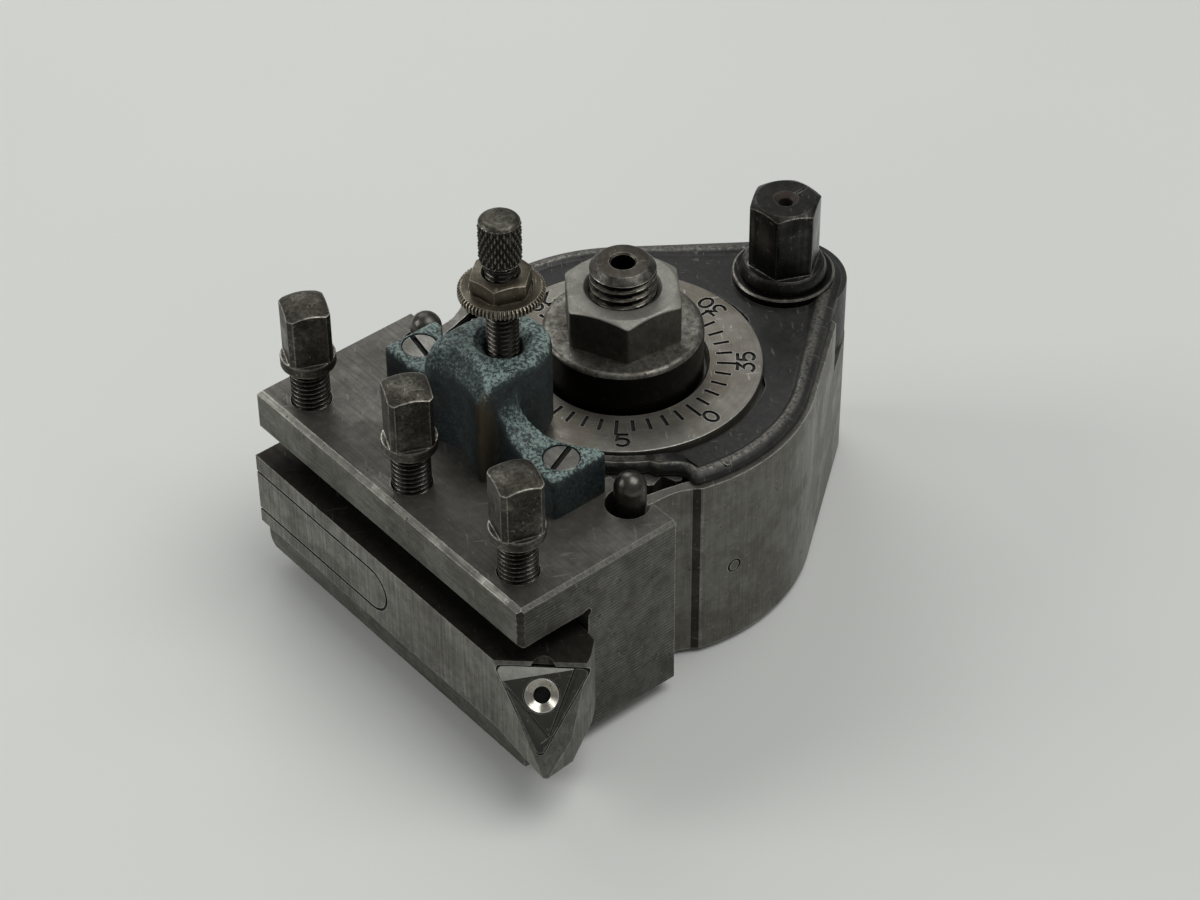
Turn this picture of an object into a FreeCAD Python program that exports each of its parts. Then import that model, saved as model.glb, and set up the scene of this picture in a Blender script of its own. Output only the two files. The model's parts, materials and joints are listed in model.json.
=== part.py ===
import FreeCAD, Part
import os
import Sketcher

# Quick-change lathe tool post: a toothed core with a graduated dial, a clamping strap
# drawn back by an eccentric, and a tool holder that hangs on the strap's two pins.
# Origin: the core's axis at its base. +Z is up, +X runs along the tool towards its
# cutting end, and the eccentric lies on +Y.

# A size in quotes follows others: the sheet works it out
SIZES = {
    # How far cutting shapes run past what they cut, in the open and by a little
    "open_reach": 100.0,
    "overlap": 1.0,
    # Core, a toothed drum
    "core_height": 39.6,
    "tooth_tip_radius": 31.5,
    "tooth_depth": 2.0,
    "tooth_count": 40,
    "groove_half_width": 2.1,
    "core_bore_radius": 6.3,
    # Centre stud, its head under the core, collar and nut
    "stud_radius": 6.0,
    "stud_rise": 5.6,
    "stud_head_radius": 9.5,
    "stud_head_height": 7.0,
    "stud_head_gap": 0.2,
    "stud_hole_radius": 2.2,
    "stud_hole_depth": 24.0,
    "stud_crown": 1.0,
    "collar_radius": 14.6,
    "collar_height": 10.8,
    "collar_edge": 1.2,
    "nut_across_flats": 20.0,
    "nut_height": 8.7,
    "nut_crown": 1.0,
    "nut_bore_gap": 0.1,
    # Graduated dial
    "dial_border": 6.2,
    "dial_radius": "=tooth_tip_radius - dial_border",
    "dial_bore_gap": 0.6,
    "dial_bore_radius": "=collar_radius + dial_bore_gap",
    "dial_thickness": 2.6,
    "dial_edge": 0.2,
    # Clamping strap
    "strap_gap": 1.1,
    "strap_wall": 2.7,
    "strap_radius": "=tooth_tip_radius + strap_gap + strap_wall",
    "strap_bottom": 1.1,
    "cover_rise": 0.4,
    "strap_height": "=core_height + cover_rise - strap_bottom",
    "strap_step_drop": 12.0,
    "strap_step_height": "=strap_bottom + strap_height - strap_step_drop",
    "clamp_travel": 0.8,
    "eccentric_reach": 7.6,
    "eccentric_offset": "=tooth_tip_radius + eccentric_reach",
    "corner_radius": 13.8,
    # Pins at the strap's ends
    "pin_radius": 2.9,
    "pin_rise": 6.4,
    "pin_gap": 2.114,
    "pin_angle": 38.44,
    "pin_x": "=(tooth_tip_radius + pin_gap + pin_radius) * cos(pin_angle * 1deg)",
    "pin_y": "=(tooth_tip_radius + pin_gap + pin_radius) * sin(pin_angle * 1deg)",
    "tab_wall": 2.1,
    "tab_reach": 12.3,
    "strap_bend": "=pin_y - tab_reach",
    # Cover over the strap
    "cover_thickness": 2.1,
    "cover_inset": 1.0,
    "cover_front_drop": 3.0,
    "cover_front_radius": "=tooth_tip_radius - cover_front_drop",
    "cover_edge": 0.9,
    "cover_hole_gap": 0.3,
    "cover_boss_radius": 10.3,
    "cover_boss_rise": 0.7,
    "cover_hub_radius": 8.6,
    "cover_hub_depth": 4.4,
    "cover_hub_gap": 0.15,
    "rivet_radius": 0.65,
    "rivet_edge": 2.25,
    "rivet_x": "=strap_radius - rivet_edge",
    "rivet_y": 4.2,
    "rivet_depth": 5.0,
    "rivet_sink": 0.1,
    "skirt_inset": 0.1,
    "skirt_gap": 0.2,
    "skirt_start": 0.8,
    "dowel_radius": 1.1,
    "dowel_y": 3.8,
    "dowel_level": 18.6,
    # Base plate between the strap's walls
    "plate_thickness": 5.0,
    # Eccentric shaft and its bushes
    "cam_radius": 4.5,
    "cam_throw": 1.0,
    "cam_gap": 0.6,
    "upper_journal_radius": 5.6,
    "lower_journal_radius": 4.0,
    "bush_wall": 0.8,
    "running_gap": 0.05,
    "end_gap": 0.3,
    "shaft_flange_radius": 8.1,
    "shaft_flange_height": 2.4,
    "shaft_flange_taper": 0.8,
    "shaft_hex_across_flats": 12.0,
    "shaft_hex_height": 13.9,
    "shaft_crown": 0.8,
    "shaft_centre_radius": 1.9,
    "shaft_centre_depth": 3.0,
    "shaft_foot": 0.4,
    "ring_thickness": 0.5,
    "ring_radius": 5.4,
    "ring_groove_depth": 0.6,
    "ring_split": 2.4,
    # Pressure block between the eccentric and the core
    "block_side_gap": 0.75,
    "block_depth": 8.5,
    "block_start": "=tooth_tip_radius - block_depth",
    "block_seat_gap": 0.05,
    # Tool holder
    "holder_length": 75.0,
    "holder_bottom": 3.0,
    "holder_rise": 1.0,
    "holder_height": "=core_height + holder_rise - holder_bottom",
    "holder_edge": 0.6,
    "holder_worn_corner": 1.6,
    "tool_height": 16.0,
    "slot_room": 4.3,
    "lower_jaw": 8.5,
    "upper_jaw": "=holder_height - lower_jaw - tool_height - slot_room",
    "slot_wall": 8.5,
    "slot_depth": 14.5,
    "slot_back": "=tooth_tip_radius + slot_wall",
    "holder_front": "=slot_back + slot_depth",
    "slot_relief_radius": 1.0,
    "mesh_gap": 0.42,
    "tip_gap": 0.3,
    "keyhole_radius": 4.1,
    "keyhole_shift": 0.5,
    "keyhole_left": 2.4,
    "keyhole_right": 2.75,
    "lip_wall": 1.25,
    "lip_x": "=pin_x + keyhole_right + lip_wall",
    "lip_reach": 4.0,
    "holder_lip": "=pin_y - lip_reach",
    "back_reach": 2.7,
    "holder_back": "=pin_y - back_reach",
    # Clamp screws
    "screw_end_gap": 8.1,
    "screw_spacing": "=holder_length / 2 - screw_end_gap",
    "screw_set_back": 8.2,
    "screw_y": "=slot_back + screw_set_back",
    "screw_radius": 3.6,
    "screw_point_radius": 2.6,
    "screw_point_length": 2.0,
    "screw_exposed": 8.4,
    "screw_collar_radius": 4.4,
    "screw_collar_height": 2.2,
    "screw_head_across_flats": 7.9,
    "screw_head_height": 11.3,
    "screw_head_crown": 1.3,
    "screw_head_corner_radius": 5.2,
    "seat_gap": 0.1,
    # Height bracket
    "bracket_set_in": 4.3,
    "bracket_y": "=tooth_tip_radius - bracket_set_in",
    "bracket_radius": 8.5,
    "bracket_height": 20.8,
    "bracket_top": "=holder_bottom + holder_height + bracket_height",
    "bracket_nose_reach": 11.6,
    "bracket_front": "=bracket_y + bracket_nose_reach",
    "bracket_cut_radius": 11.6,
    "bracket_foot_x": 19.8,
    "bracket_foot_reach": 3.5,
    "bracket_foot_y": "=bracket_y + bracket_foot_reach",
    "bracket_end_gap": 3.7,
    "bracket_end_x": "=bracket_foot_x + bracket_end_gap",
    "bracket_foot_height": 8.9,
    "bracket_wing_reach": 8.2,
    "bracket_wing_front": "=bracket_y + bracket_wing_reach",
    "bracket_wing_width": 10.6,
    "bracket_wing_back": "=bracket_wing_front - bracket_wing_width",
    "bracket_sweep_radius": 9.2,
    "bracket_under_gap": 4.0,
    "bracket_reach_gap": 0.7,
    "bracket_mouth_radius": 3.6,
    "bracket_mouth_depth": 0.7,
    "foot_screw_radius": 2.0,
    "foot_screw_head_radius": 3.1,
    "foot_screw_head_height": 2.2,
    "foot_screw_depth": 7.0,
    "foot_screw_slot": 1.1,
    "foot_screw_slot_depth": 0.8,
    "foot_screw_sink": 0.1,
    # Height screw and its lock nut
    "height_screw_radius": 2.9,
    "height_screw_tip_gap": 0.3,
    "height_screw_edge": 0.6,
    "knob_radius": 3.85,
    "knob_rise": 17.5,
    "knob_bottom": "=bracket_top + knob_rise",
    "knob_length": 8.4,
    "knob_crown": 0.6,
    "knob_edge": 0.3,
    "lock_nut_rise": 10.0,
    "lock_nut_bottom": "=bracket_top + lock_nut_rise",
    "lock_flange_radius": 7.8,
    "lock_flange_thickness": 1.9,
    "lock_hex_across_flats": 9.0,
    "lock_hex_height": 3.1,
    # Turning tool
    "tool_left_gap": 1.5,
    "tool_left": "=holder_length / 2 - tool_left_gap",
    "tool_width": 16.7,
    "tool_back_gap": 0.3,
    "tool_front": "=slot_back + tool_back_gap + tool_width",
    "tool_neck": 33.0,
    "tool_tip_x": 48.5,
    "tool_tip_reach": 1.7,
    "tool_tip_y": "=tool_front + tool_tip_reach",
    "tool_side_lean": 0.4,
    "tool_side_length": 6.5,
    "tool_heel_lean": 2.6,
    "tool_heel_length": 3.0,
    "tool_back_lean": 5.8,
    "tool_end_x": 43.0,
    "tool_end_reach": 3.7,
    "tool_end_y": "=slot_back + tool_end_reach",
    "rake_angle": 46.8,
    "rake_tilt": 53.0,
    "insert_side": 16.5,
    "insert_thickness": 3.2,
    "insert_nose": 0.8,
    "insert_proud": 0.6,
    "insert_x": 41.6,
    "insert_set_back": 3.5,
    "insert_y": "=tool_front - insert_set_back",
    "insert_drop": 4.2,
    "insert_hole_radius": 2.3,
    "insert_sink_radius": 3.2,
    "shim_thickness": 3.0,
    "shim_inset": 0.5,
    "pocket_gap": 0.15,
    "pocket_notch_radius": 2.1,
    "pocket_notch_depth": 2.5,
    "insert_screw_radius": 1.7,
    "insert_screw_length": 9.0,
    "insert_screw_hole": 1.45,
    "insert_screw_step": 0.2,
    "insert_socket_depth": 2.0,
}

# Expressions on the sheet's own names that several pieces share
FAR = "Sizes.open_reach"
BACKWARD = "-Sizes.open_reach"
UNDER = "-Sizes.overlap"
OVER = " + Sizes.overlap"
SPLIT = "asin((Sizes.strap_radius - Sizes.corner_radius) / Sizes.eccentric_offset)"
HOLDER_TOP = "(Sizes.holder_bottom + Sizes.holder_height)"
STRAP_TOP = "(Sizes.strap_bottom + Sizes.strap_height)"
COVER_TOP = "(Sizes.strap_bottom + Sizes.strap_height + Sizes.cover_thickness)"
SLOT_FLOOR = "(Sizes.holder_bottom + Sizes.lower_jaw)"
SLOT_ROOF = "(Sizes.holder_bottom + Sizes.holder_height - Sizes.upper_jaw)"
TOOL_TOP = "(Sizes.holder_bottom + Sizes.lower_jaw + Sizes.seat_gap + Sizes.tool_height)"

# How far the flats and slots are turned from +X, in degrees
NUT_TURN = 24.0
SHAFT_TURN = 5.0
LOCK_TURN = 20.0
SCREW_TURNS = (("left", -1, 22.0), ("middle", 0, 20.0), ("right", 1, 27.0))
FOOT_SCREW_TURNS = (("right", "", 113.0), ("left", "-", 169.0))

doc = FreeCAD.newDocument("tool_post")
sizes = doc.addObject("Spreadsheet::Sheet", "Sizes")
parts = []


def fill_sheet():
    """Write every size into the sheet and give its cell the size's name."""
    for row, (name, value) in enumerate(SIZES.items(), start=1):
        cell = "A%d" % row
        sizes.set(cell, str(value))
        sizes.setAlias(cell, name)
        doc.recompute()


def number(text):
    """The value of an expression on the sheet, as a plain number."""
    result = sizes.evalExpression(text)
    return float(getattr(result, "Value", result))


def bind(item, **expressions):
    """Tie properties of an object to expressions; place_x, place_y and place_z set its base."""
    for key, text in expressions.items():
        path = {"place_x": "Placement.Base.x", "place_y": "Placement.Base.y", "place_z": "Placement.Base.z"}
        item.setExpression(path.get(key, key), text)
    return item


def cylinder(name, radius, bottom, top, x="0", y="0"):
    """An upright cylinder between two levels."""
    item = doc.addObject("Part::Cylinder", name)
    bind(item, Radius=radius, Height="(%s) - (%s)" % (top, bottom))
    return bind(item, place_x=x, place_y=y, place_z=bottom)


def cone(name, low_radius, high_radius, bottom, top, x="0", y="0"):
    """An upright cone between two levels."""
    item = doc.addObject("Part::Cone", name)
    bind(item, Radius1=low_radius, Radius2=high_radius, Height="(%s) - (%s)" % (top, bottom))
    return bind(item, place_x=x, place_y=y, place_z=bottom)


def box(name, left, right, front, back, bottom, top):
    """A box between two planes on each axis."""
    item = doc.addObject("Part::Box", name)
    bind(item, Length="(%s) - (%s)" % (right, left), Width="(%s) - (%s)" % (back, front))
    return bind(item, Height="(%s) - (%s)" % (top, bottom), place_x=left, place_y=front, place_z=bottom)


def regular(name, sides, across_flats, bottom, top, x="0", y="0", turn=0.0):
    """An upright prism with equal sides, given by its width across flats."""
    item = doc.addObject("Part::Prism", name)
    item.Polygon = sides
    item.Placement.Rotation = FreeCAD.Rotation(FreeCAD.Vector(0, 0, 1), turn)
    bind(item, Circumradius="(%s) / 2 / cos(180 deg / %d)" % (across_flats, sides))
    return bind(item, Height="(%s) - (%s)" % (top, bottom), place_x=x, place_y=y, place_z=bottom)


def rod(name, radius, length, place, direction):
    """A cylinder along a given direction, placed by numbers read from the sheet."""
    item = doc.addObject("Part::Cylinder", name)
    turn = FreeCAD.Rotation(FreeCAD.Vector(0, 0, 1), direction)
    item.Placement = FreeCAD.Placement(place, turn)
    return bind(item, Radius=radius, Height=length)


def fuse(name, *items):
    """One solid from several."""
    item = doc.addObject("Part::MultiFuse", name)
    item.Shapes = list(items)
    return item


def common(name, *items):
    """What several solids share."""
    item = doc.addObject("Part::MultiCommon", name)
    item.Shapes = list(items)
    return item


def cut(name, base, *tools):
    """The base less every tool."""
    item = doc.addObject("Part::Cut", name)
    item.Base = base
    item.Tool = tools[0] if len(tools) == 1 else fuse(name + "_tools", *tools)
    return item


def mirrored(name, source):
    """The same solid on the other side of the YZ plane."""
    item = doc.addObject("Part::Mirroring", name)
    item.Source = source
    item.Normal = FreeCAD.Vector(1, 0, 0)
    return item


def plane_of(body, role):
    """One of a body's own origin planes or axes."""
    return next(item for item in body.Origin.OriginFeatures if item.Role == role)


def outline(body, name, points, role="XY_Plane"):
    """A closed sketch of straight lines whose corners are tied to expressions."""
    sketch = body.newObject("Sketcher::SketchObject", name)
    sketch.AttachmentSupport = [(plane_of(body, role), "")]
    sketch.MapMode = "FlatFace"
    corners = [FreeCAD.Vector(number(x), number(y), 0) for x, y in points]
    for index, corner in enumerate(corners):
        following = corners[(index + 1) % len(corners)]
        sketch.addGeometry(Part.LineSegment(corner, following), False)
    for index in range(len(points)):
        sketch.addConstraint(Sketcher.Constraint("Coincident", index, 2, (index + 1) % len(points), 1))
    for index, (x, y) in enumerate(points):
        for kind, text, value in (("DistanceX", x, corners[index].x), ("DistanceY", y, corners[index].y)):
            place = sketch.addConstraint(Sketcher.Constraint(kind, -1, 1, index, 1, value))
            sketch.setExpression("Constraints[%d]" % place, text)
    return sketch


def prism(name, points, bottom, top):
    """A PartDesign body: a straight-sided outline seen from above, between two levels."""
    body = doc.addObject("PartDesign::Body", name)
    sketch = outline(body, name + "_sketch", points)
    pad = body.newObject("PartDesign::Pad", name + "_pad")
    pad.Profile = sketch
    pad.setExpression("Length", "(%s) - (%s)" % (top, bottom))
    body.setExpression("Placement.Base.z", bottom)
    return body


def turned(name, points, x="0", y="0"):
    """A PartDesign body turned about an upright axis; its points are radius and level."""
    body = doc.addObject("PartDesign::Body", name)
    sketch = outline(body, name + "_sketch", points, "XZ_Plane")
    turn = body.newObject("PartDesign::Revolution", name + "_turn")
    turn.Profile = sketch
    turn.ReferenceAxis = (sketch, ["V_Axis"])
    turn.Angle = 360.0
    body.setExpression("Placement.Base.x", x)
    body.setExpression("Placement.Base.y", y)
    return body


def toothed(name, tip, root, half_width, bottom, top):
    """A drum with V grooves between its teeth, one groove repeated round the axis."""
    body = doc.addObject("PartDesign::Body", name)
    ring = body.newObject("Sketcher::SketchObject", name + "_round")
    ring.AttachmentSupport = [(plane_of(body, "XY_Plane"), "")]
    ring.MapMode = "FlatFace"
    ring.addGeometry(Part.Circle(FreeCAD.Vector(0, 0, 0), FreeCAD.Vector(0, 0, 1), number(tip)), False)
    ring.addConstraint(Sketcher.Constraint("Coincident", 0, 3, -1, 1))
    place = ring.addConstraint(Sketcher.Constraint("Radius", 0, number(tip)))
    ring.setExpression("Constraints[%d]" % place, tip)
    pad = body.newObject("PartDesign::Pad", name + "_pad")
    pad.Profile = ring
    pad.setExpression("Length", "(%s) - (%s)" % (top, bottom))
    # The groove's flanks run on past the tips, so the cut is open outside
    slope = "(%s) / Sizes.tooth_depth" % half_width
    wide = "((%s) - (%s)%s) * (%s)" % (tip, root, OVER, slope)
    edge = "(%s)%s" % (tip, OVER)
    corners = [(root, "0"), (edge, "-" + wide), (edge, wide)]
    groove = outline(body, name + "_groove", corners)
    pocket = body.newObject("PartDesign::Pocket", name + "_pocket")
    pocket.Profile = groove
    pocket.Type = "ThroughAll"
    pocket.Midplane = True
    pattern = body.newObject("PartDesign::PolarPattern", name + "_pattern")
    pattern.Originals = [pocket]
    pattern.Axis = (ring, ["N_Axis"])
    pattern.Angle = 360.0
    pattern.setExpression("Occurrences", "Sizes.tooth_count")
    body.Tip = pattern
    body.setExpression("Placement.Base.z", bottom)
    return body


def rounded(name, source, radius, chosen, kind="Part::Fillet"):
    """Round or bevel the edges of a solid that the test picks."""
    doc.recompute()
    size = number(radius)
    picks = [(index, size, size) for index, edge in enumerate(source.Shape.Edges, start=1) if chosen(edge)]
    item = doc.addObject(kind, name)
    item.Base = source
    item.Edges = picks
    return item


def at_level(level):
    """A test for edges that lie flat at one level."""
    height = number(level)
    return lambda edge: abs(edge.BoundBox.ZMin - height) < 1e-6 and abs(edge.BoundBox.ZMax - height) < 1e-6


def keep(item, label):
    """Label a finished sub-part and put it on the list to be written."""
    item.Label = label
    parts.append(item)
    return item


def teardrop(name, inset, bottom, top):
    """The strap's outline, drawn in by an inset: two rounds joined by their tangents."""
    large = "(Sizes.strap_radius - (%s))" % inset
    small = "(Sizes.corner_radius - (%s))" % inset
    big = cylinder(name + "_round", large, bottom, top)
    tip = cylinder(name + "_corner", small, bottom, top, y="Sizes.eccentric_offset")
    side_x = "%s * cos(%s)" % (large, SPLIT)
    side_y = "%s * sin(%s)" % (large, SPLIT)
    tip_x = "%s * cos(%s)" % (small, SPLIT)
    tip_y = "Sizes.eccentric_offset + %s * sin(%s)" % (small, SPLIT)
    flanks = [(side_x, side_y), (tip_x, tip_y), ("-" + tip_x, tip_y), ("-" + side_x, side_y)]
    middle = prism(name + "_flanks", flanks, bottom, top)
    return fuse(name, big, tip, middle)


def core():
    """The toothed drum, its stud, collar and nut, the dial and the pressure block."""
    drum = toothed("drum", "Sizes.tooth_tip_radius", "Sizes.tooth_tip_radius - Sizes.tooth_depth",
                   "Sizes.groove_half_width", "0", "Sizes.core_height")
    head_top = "Sizes.stud_head_height + Sizes.stud_head_gap"
    recess = cylinder("stud_recess", "Sizes.stud_head_radius + Sizes.stud_head_gap", UNDER, head_top)
    bore = cylinder("core_bore", "Sizes.core_bore_radius", "0", "Sizes.core_height" + OVER)
    keep(cut("core_body", drum, recess, bore), "core_body")
    nut_bottom = "(Sizes.core_height + Sizes.collar_height)"
    nut_top = "(Sizes.core_height + Sizes.collar_height + Sizes.nut_height)"
    stud_top = "(%s + Sizes.stud_rise)" % nut_top
    shape = [("0", "0"), ("Sizes.stud_head_radius", "0"),
             ("Sizes.stud_head_radius", "Sizes.stud_head_height"),
             ("Sizes.stud_radius", "Sizes.stud_head_height"),
             ("Sizes.stud_radius", stud_top + " - Sizes.stud_crown"),
             ("Sizes.stud_radius - Sizes.stud_crown", stud_top), ("0", stud_top)]
    stud = turned("stud", shape)
    hole = cylinder("stud_hole", "Sizes.stud_hole_radius", stud_top + " - Sizes.stud_hole_depth",
                    stud_top + OVER)
    keep(cut("centre_stud", stud, hole), "centre_stud")
    ring = [("Sizes.core_bore_radius", "Sizes.core_height"), ("Sizes.collar_radius", "Sizes.core_height"),
            ("Sizes.collar_radius", nut_bottom), ("Sizes.core_bore_radius", nut_bottom)]
    collar = turned("collar", ring)
    rim = number("Sizes.collar_radius")
    soft = rounded("thrust_collar", collar, "Sizes.collar_edge",
                   lambda edge: at_level(nut_bottom)(edge) and edge.BoundBox.XMax > rim - 1e-6)
    keep(soft, "thrust_collar")
    flats = regular("nut_flats", 6, "Sizes.nut_across_flats", nut_bottom, nut_top, turn=NUT_TURN)
    corner = "Sizes.nut_across_flats / 2 / cos(30 deg)"
    crown = cone("nut_crown", corner + " + 4 * Sizes.nut_crown", corner + " - Sizes.nut_crown",
                 nut_top + " - 2.5 * Sizes.nut_crown", nut_top)
    lower = cylinder("nut_lower", corner + OVER, nut_bottom, nut_top + " - 2.5 * Sizes.nut_crown")
    nut_bore = cylinder("nut_bore", "Sizes.stud_radius + Sizes.nut_bore_gap",
                        nut_bottom + " - Sizes.overlap", nut_top + OVER)
    keep(cut("stud_nut", common("nut_round", flats, fuse("nut_limit", crown, lower)), nut_bore), "stud_nut")
    dial_top = "(Sizes.core_height + Sizes.dial_thickness)"
    dial = [("Sizes.dial_bore_radius", "Sizes.core_height"), ("Sizes.dial_radius", "Sizes.core_height"),
            ("Sizes.dial_radius", dial_top + " - Sizes.dial_edge"),
            ("Sizes.dial_radius - Sizes.dial_edge", dial_top),
            ("Sizes.dial_bore_radius + 2 * Sizes.dial_edge", dial_top),
            ("Sizes.dial_bore_radius", dial_top + " - 2 * Sizes.dial_edge")]
    keep(turned("dial", dial), "dial_ring")


def pressure_block():
    """The toothed shoe that the eccentric bears on; it sits in the core's teeth."""
    bottom = "(Sizes.strap_bottom + Sizes.plate_thickness + Sizes.end_gap)"
    top = "(%s - Sizes.cover_hub_depth - Sizes.end_gap)" % STRAP_TOP
    whole = teardrop("block_outline", "Sizes.strap_wall + Sizes.block_side_gap", bottom, top)
    seat = toothed("block_seat", "Sizes.tooth_tip_radius + Sizes.block_seat_gap",
                   "Sizes.tooth_tip_radius - Sizes.tooth_depth + Sizes.block_seat_gap",
                   "Sizes.groove_half_width", "0", "Sizes.core_height")
    front = box("block_front", BACKWARD, FAR, BACKWARD, "Sizes.block_start", UNDER, FAR)
    back = box("block_back", BACKWARD, FAR, "Sizes.eccentric_offset - Sizes.cam_radius / 2", FAR, UNDER, FAR)
    pocket = cylinder("block_pocket", "Sizes.cam_radius + Sizes.cam_throw + Sizes.cam_gap",
                      "0", "Sizes.core_height", y="Sizes.eccentric_offset")
    keep(cut("pressure_block", whole, seat, front, back, pocket), "pressure_block")


def strap_tab():
    """The right-hand end of the strap, bent in towards its pin."""
    bend_x = "sqrt(Sizes.strap_radius^2 - Sizes.strap_bend^2)"
    inner_x = "sqrt((Sizes.strap_radius - Sizes.strap_wall)^2 - Sizes.strap_bend^2)"
    outer = [(bend_x, "-Sizes.strap_bend"),
             ("(%s) - Sizes.tab_wall" % bend_x, "-Sizes.strap_bend - 1.7 * Sizes.tab_wall"),
             ("Sizes.pin_x + 1.1 * Sizes.tab_wall", "-Sizes.pin_y + 1.8 * Sizes.tab_wall"),
             ("Sizes.pin_x + Sizes.tab_wall", "-Sizes.pin_y + 0.6 * Sizes.tab_wall")]
    inner = [("Sizes.pin_x - 0.2 * Sizes.tab_wall", "-Sizes.pin_y + 0.93 * Sizes.pin_radius"),
             ("Sizes.pin_x + 0.05 * Sizes.tab_wall", "-Sizes.pin_y + 1.8 * Sizes.tab_wall"),
             ("(%s) - 0.3 * Sizes.tab_wall" % inner_x, "-Sizes.strap_bend - Sizes.tab_wall"),
             ("(%s)" % inner_x, "-Sizes.strap_bend" + OVER),
             ("(%s) - 0.3 * Sizes.overlap" % bend_x, "-Sizes.strap_bend" + OVER)]
    return prism("tab", outer + inner, "Sizes.strap_bottom", STRAP_TOP)


def strap():
    """The steel band with its pins, dowels and the plate that closes it below."""
    ring = cut("band_ring", teardrop("band_outer", "0", "Sizes.strap_bottom", STRAP_TOP),
               teardrop("band_inner", "Sizes.strap_wall", "Sizes.strap_bottom - Sizes.overlap",
                        STRAP_TOP + OVER))
    front = box("band_front", BACKWARD, FAR, BACKWARD, "-Sizes.strap_bend", "0", FAR)
    step = box("band_step", BACKWARD, FAR, "Sizes.eccentric_offset - Sizes.overlap", FAR,
               "Sizes.strap_step_height", FAR)
    tab = strap_tab()
    band = fuse("band", cut("band_open", ring, front, step), tab, mirrored("tab_left", tab))
    pin_top = "(%s + Sizes.pin_rise)" % HOLDER_TOP
    seats = []
    for side, sign in (("right", ""), ("left", "-")):
        place = {"x": sign + "Sizes.pin_x", "y": "-Sizes.pin_y"}
        shank = cylinder("pin_shank_" + side, "Sizes.pin_radius", "Sizes.strap_bottom",
                         pin_top + " - Sizes.pin_radius", **place)
        dome = doc.addObject("Part::Sphere", "pin_dome_" + side)
        bind(dome, Radius="Sizes.pin_radius", place_x=place["x"], place_y=place["y"])
        bind(dome, place_z=pin_top + " - Sizes.pin_radius")
        keep(fuse("strap_pin_" + side, shank, dome), "strap_pin_" + side)
        seats.append(cylinder("pin_seat_" + side, "Sizes.pin_radius", "0", FAR, **place))
    # Flush dowels through the band, square to it
    reach = number("sqrt(Sizes.strap_radius^2 - Sizes.dowel_y^2)")
    dowels = []
    for side, sign in (("right", 1), ("left", -1)):
        start = FreeCAD.Vector(sign * (reach - number("Sizes.strap_wall")), -number("Sizes.dowel_y"),
                               number("Sizes.dowel_level"))
        dowels.append(rod("dowel_" + side, "Sizes.dowel_radius", "Sizes.strap_wall", start,
                          FreeCAD.Vector(sign, 0, 0)))
    pair = doc.addObject("Part::Compound", "strap_dowels")
    pair.Links = dowels
    keep(pair, "strap_dowels")
    rivets = []
    for side, sign in (("right", ""), ("left", "-")):
        place = {"x": sign + "Sizes.rivet_x", "y": "-Sizes.rivet_y"}
        rivets.append(cylinder("rivet_" + side, "Sizes.rivet_radius", STRAP_TOP + " - Sizes.rivet_depth",
                               COVER_TOP + " - Sizes.rivet_sink", **place))
    pair = doc.addObject("Part::Compound", "cover_rivets")
    pair.Links = rivets
    keep(pair, "cover_rivets")
    keep(cut("clamp_strap", band, *(seats + dowels + rivets)), "clamp_strap")
    return rivets


def base_plate():
    """The plate in the strap's corner that carries the eccentric's lower end."""
    top = "(Sizes.strap_bottom + Sizes.plate_thickness)"
    whole = teardrop("plate_outline", "Sizes.strap_wall", "Sizes.strap_bottom", top)
    drum = cylinder("plate_drum", "Sizes.strap_radius - Sizes.strap_wall", "0", top + OVER)
    lower = "Sizes.lower_journal_radius + Sizes.running_gap + Sizes.bush_wall"
    seat = cylinder("plate_bush_seat", lower, "0", top + OVER, y="Sizes.eccentric_offset")
    keep(cut("base_plate", whole, drum, seat), "base_plate")
    bore = cylinder("lower_bush_bore", "Sizes.lower_journal_radius + Sizes.running_gap", "0", top + OVER,
                    y="Sizes.eccentric_offset")
    body = cylinder("lower_bush_body", lower, "Sizes.strap_bottom", top, y="Sizes.eccentric_offset")
    keep(cut("lower_bush", body, bore), "lower_bush")


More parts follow.
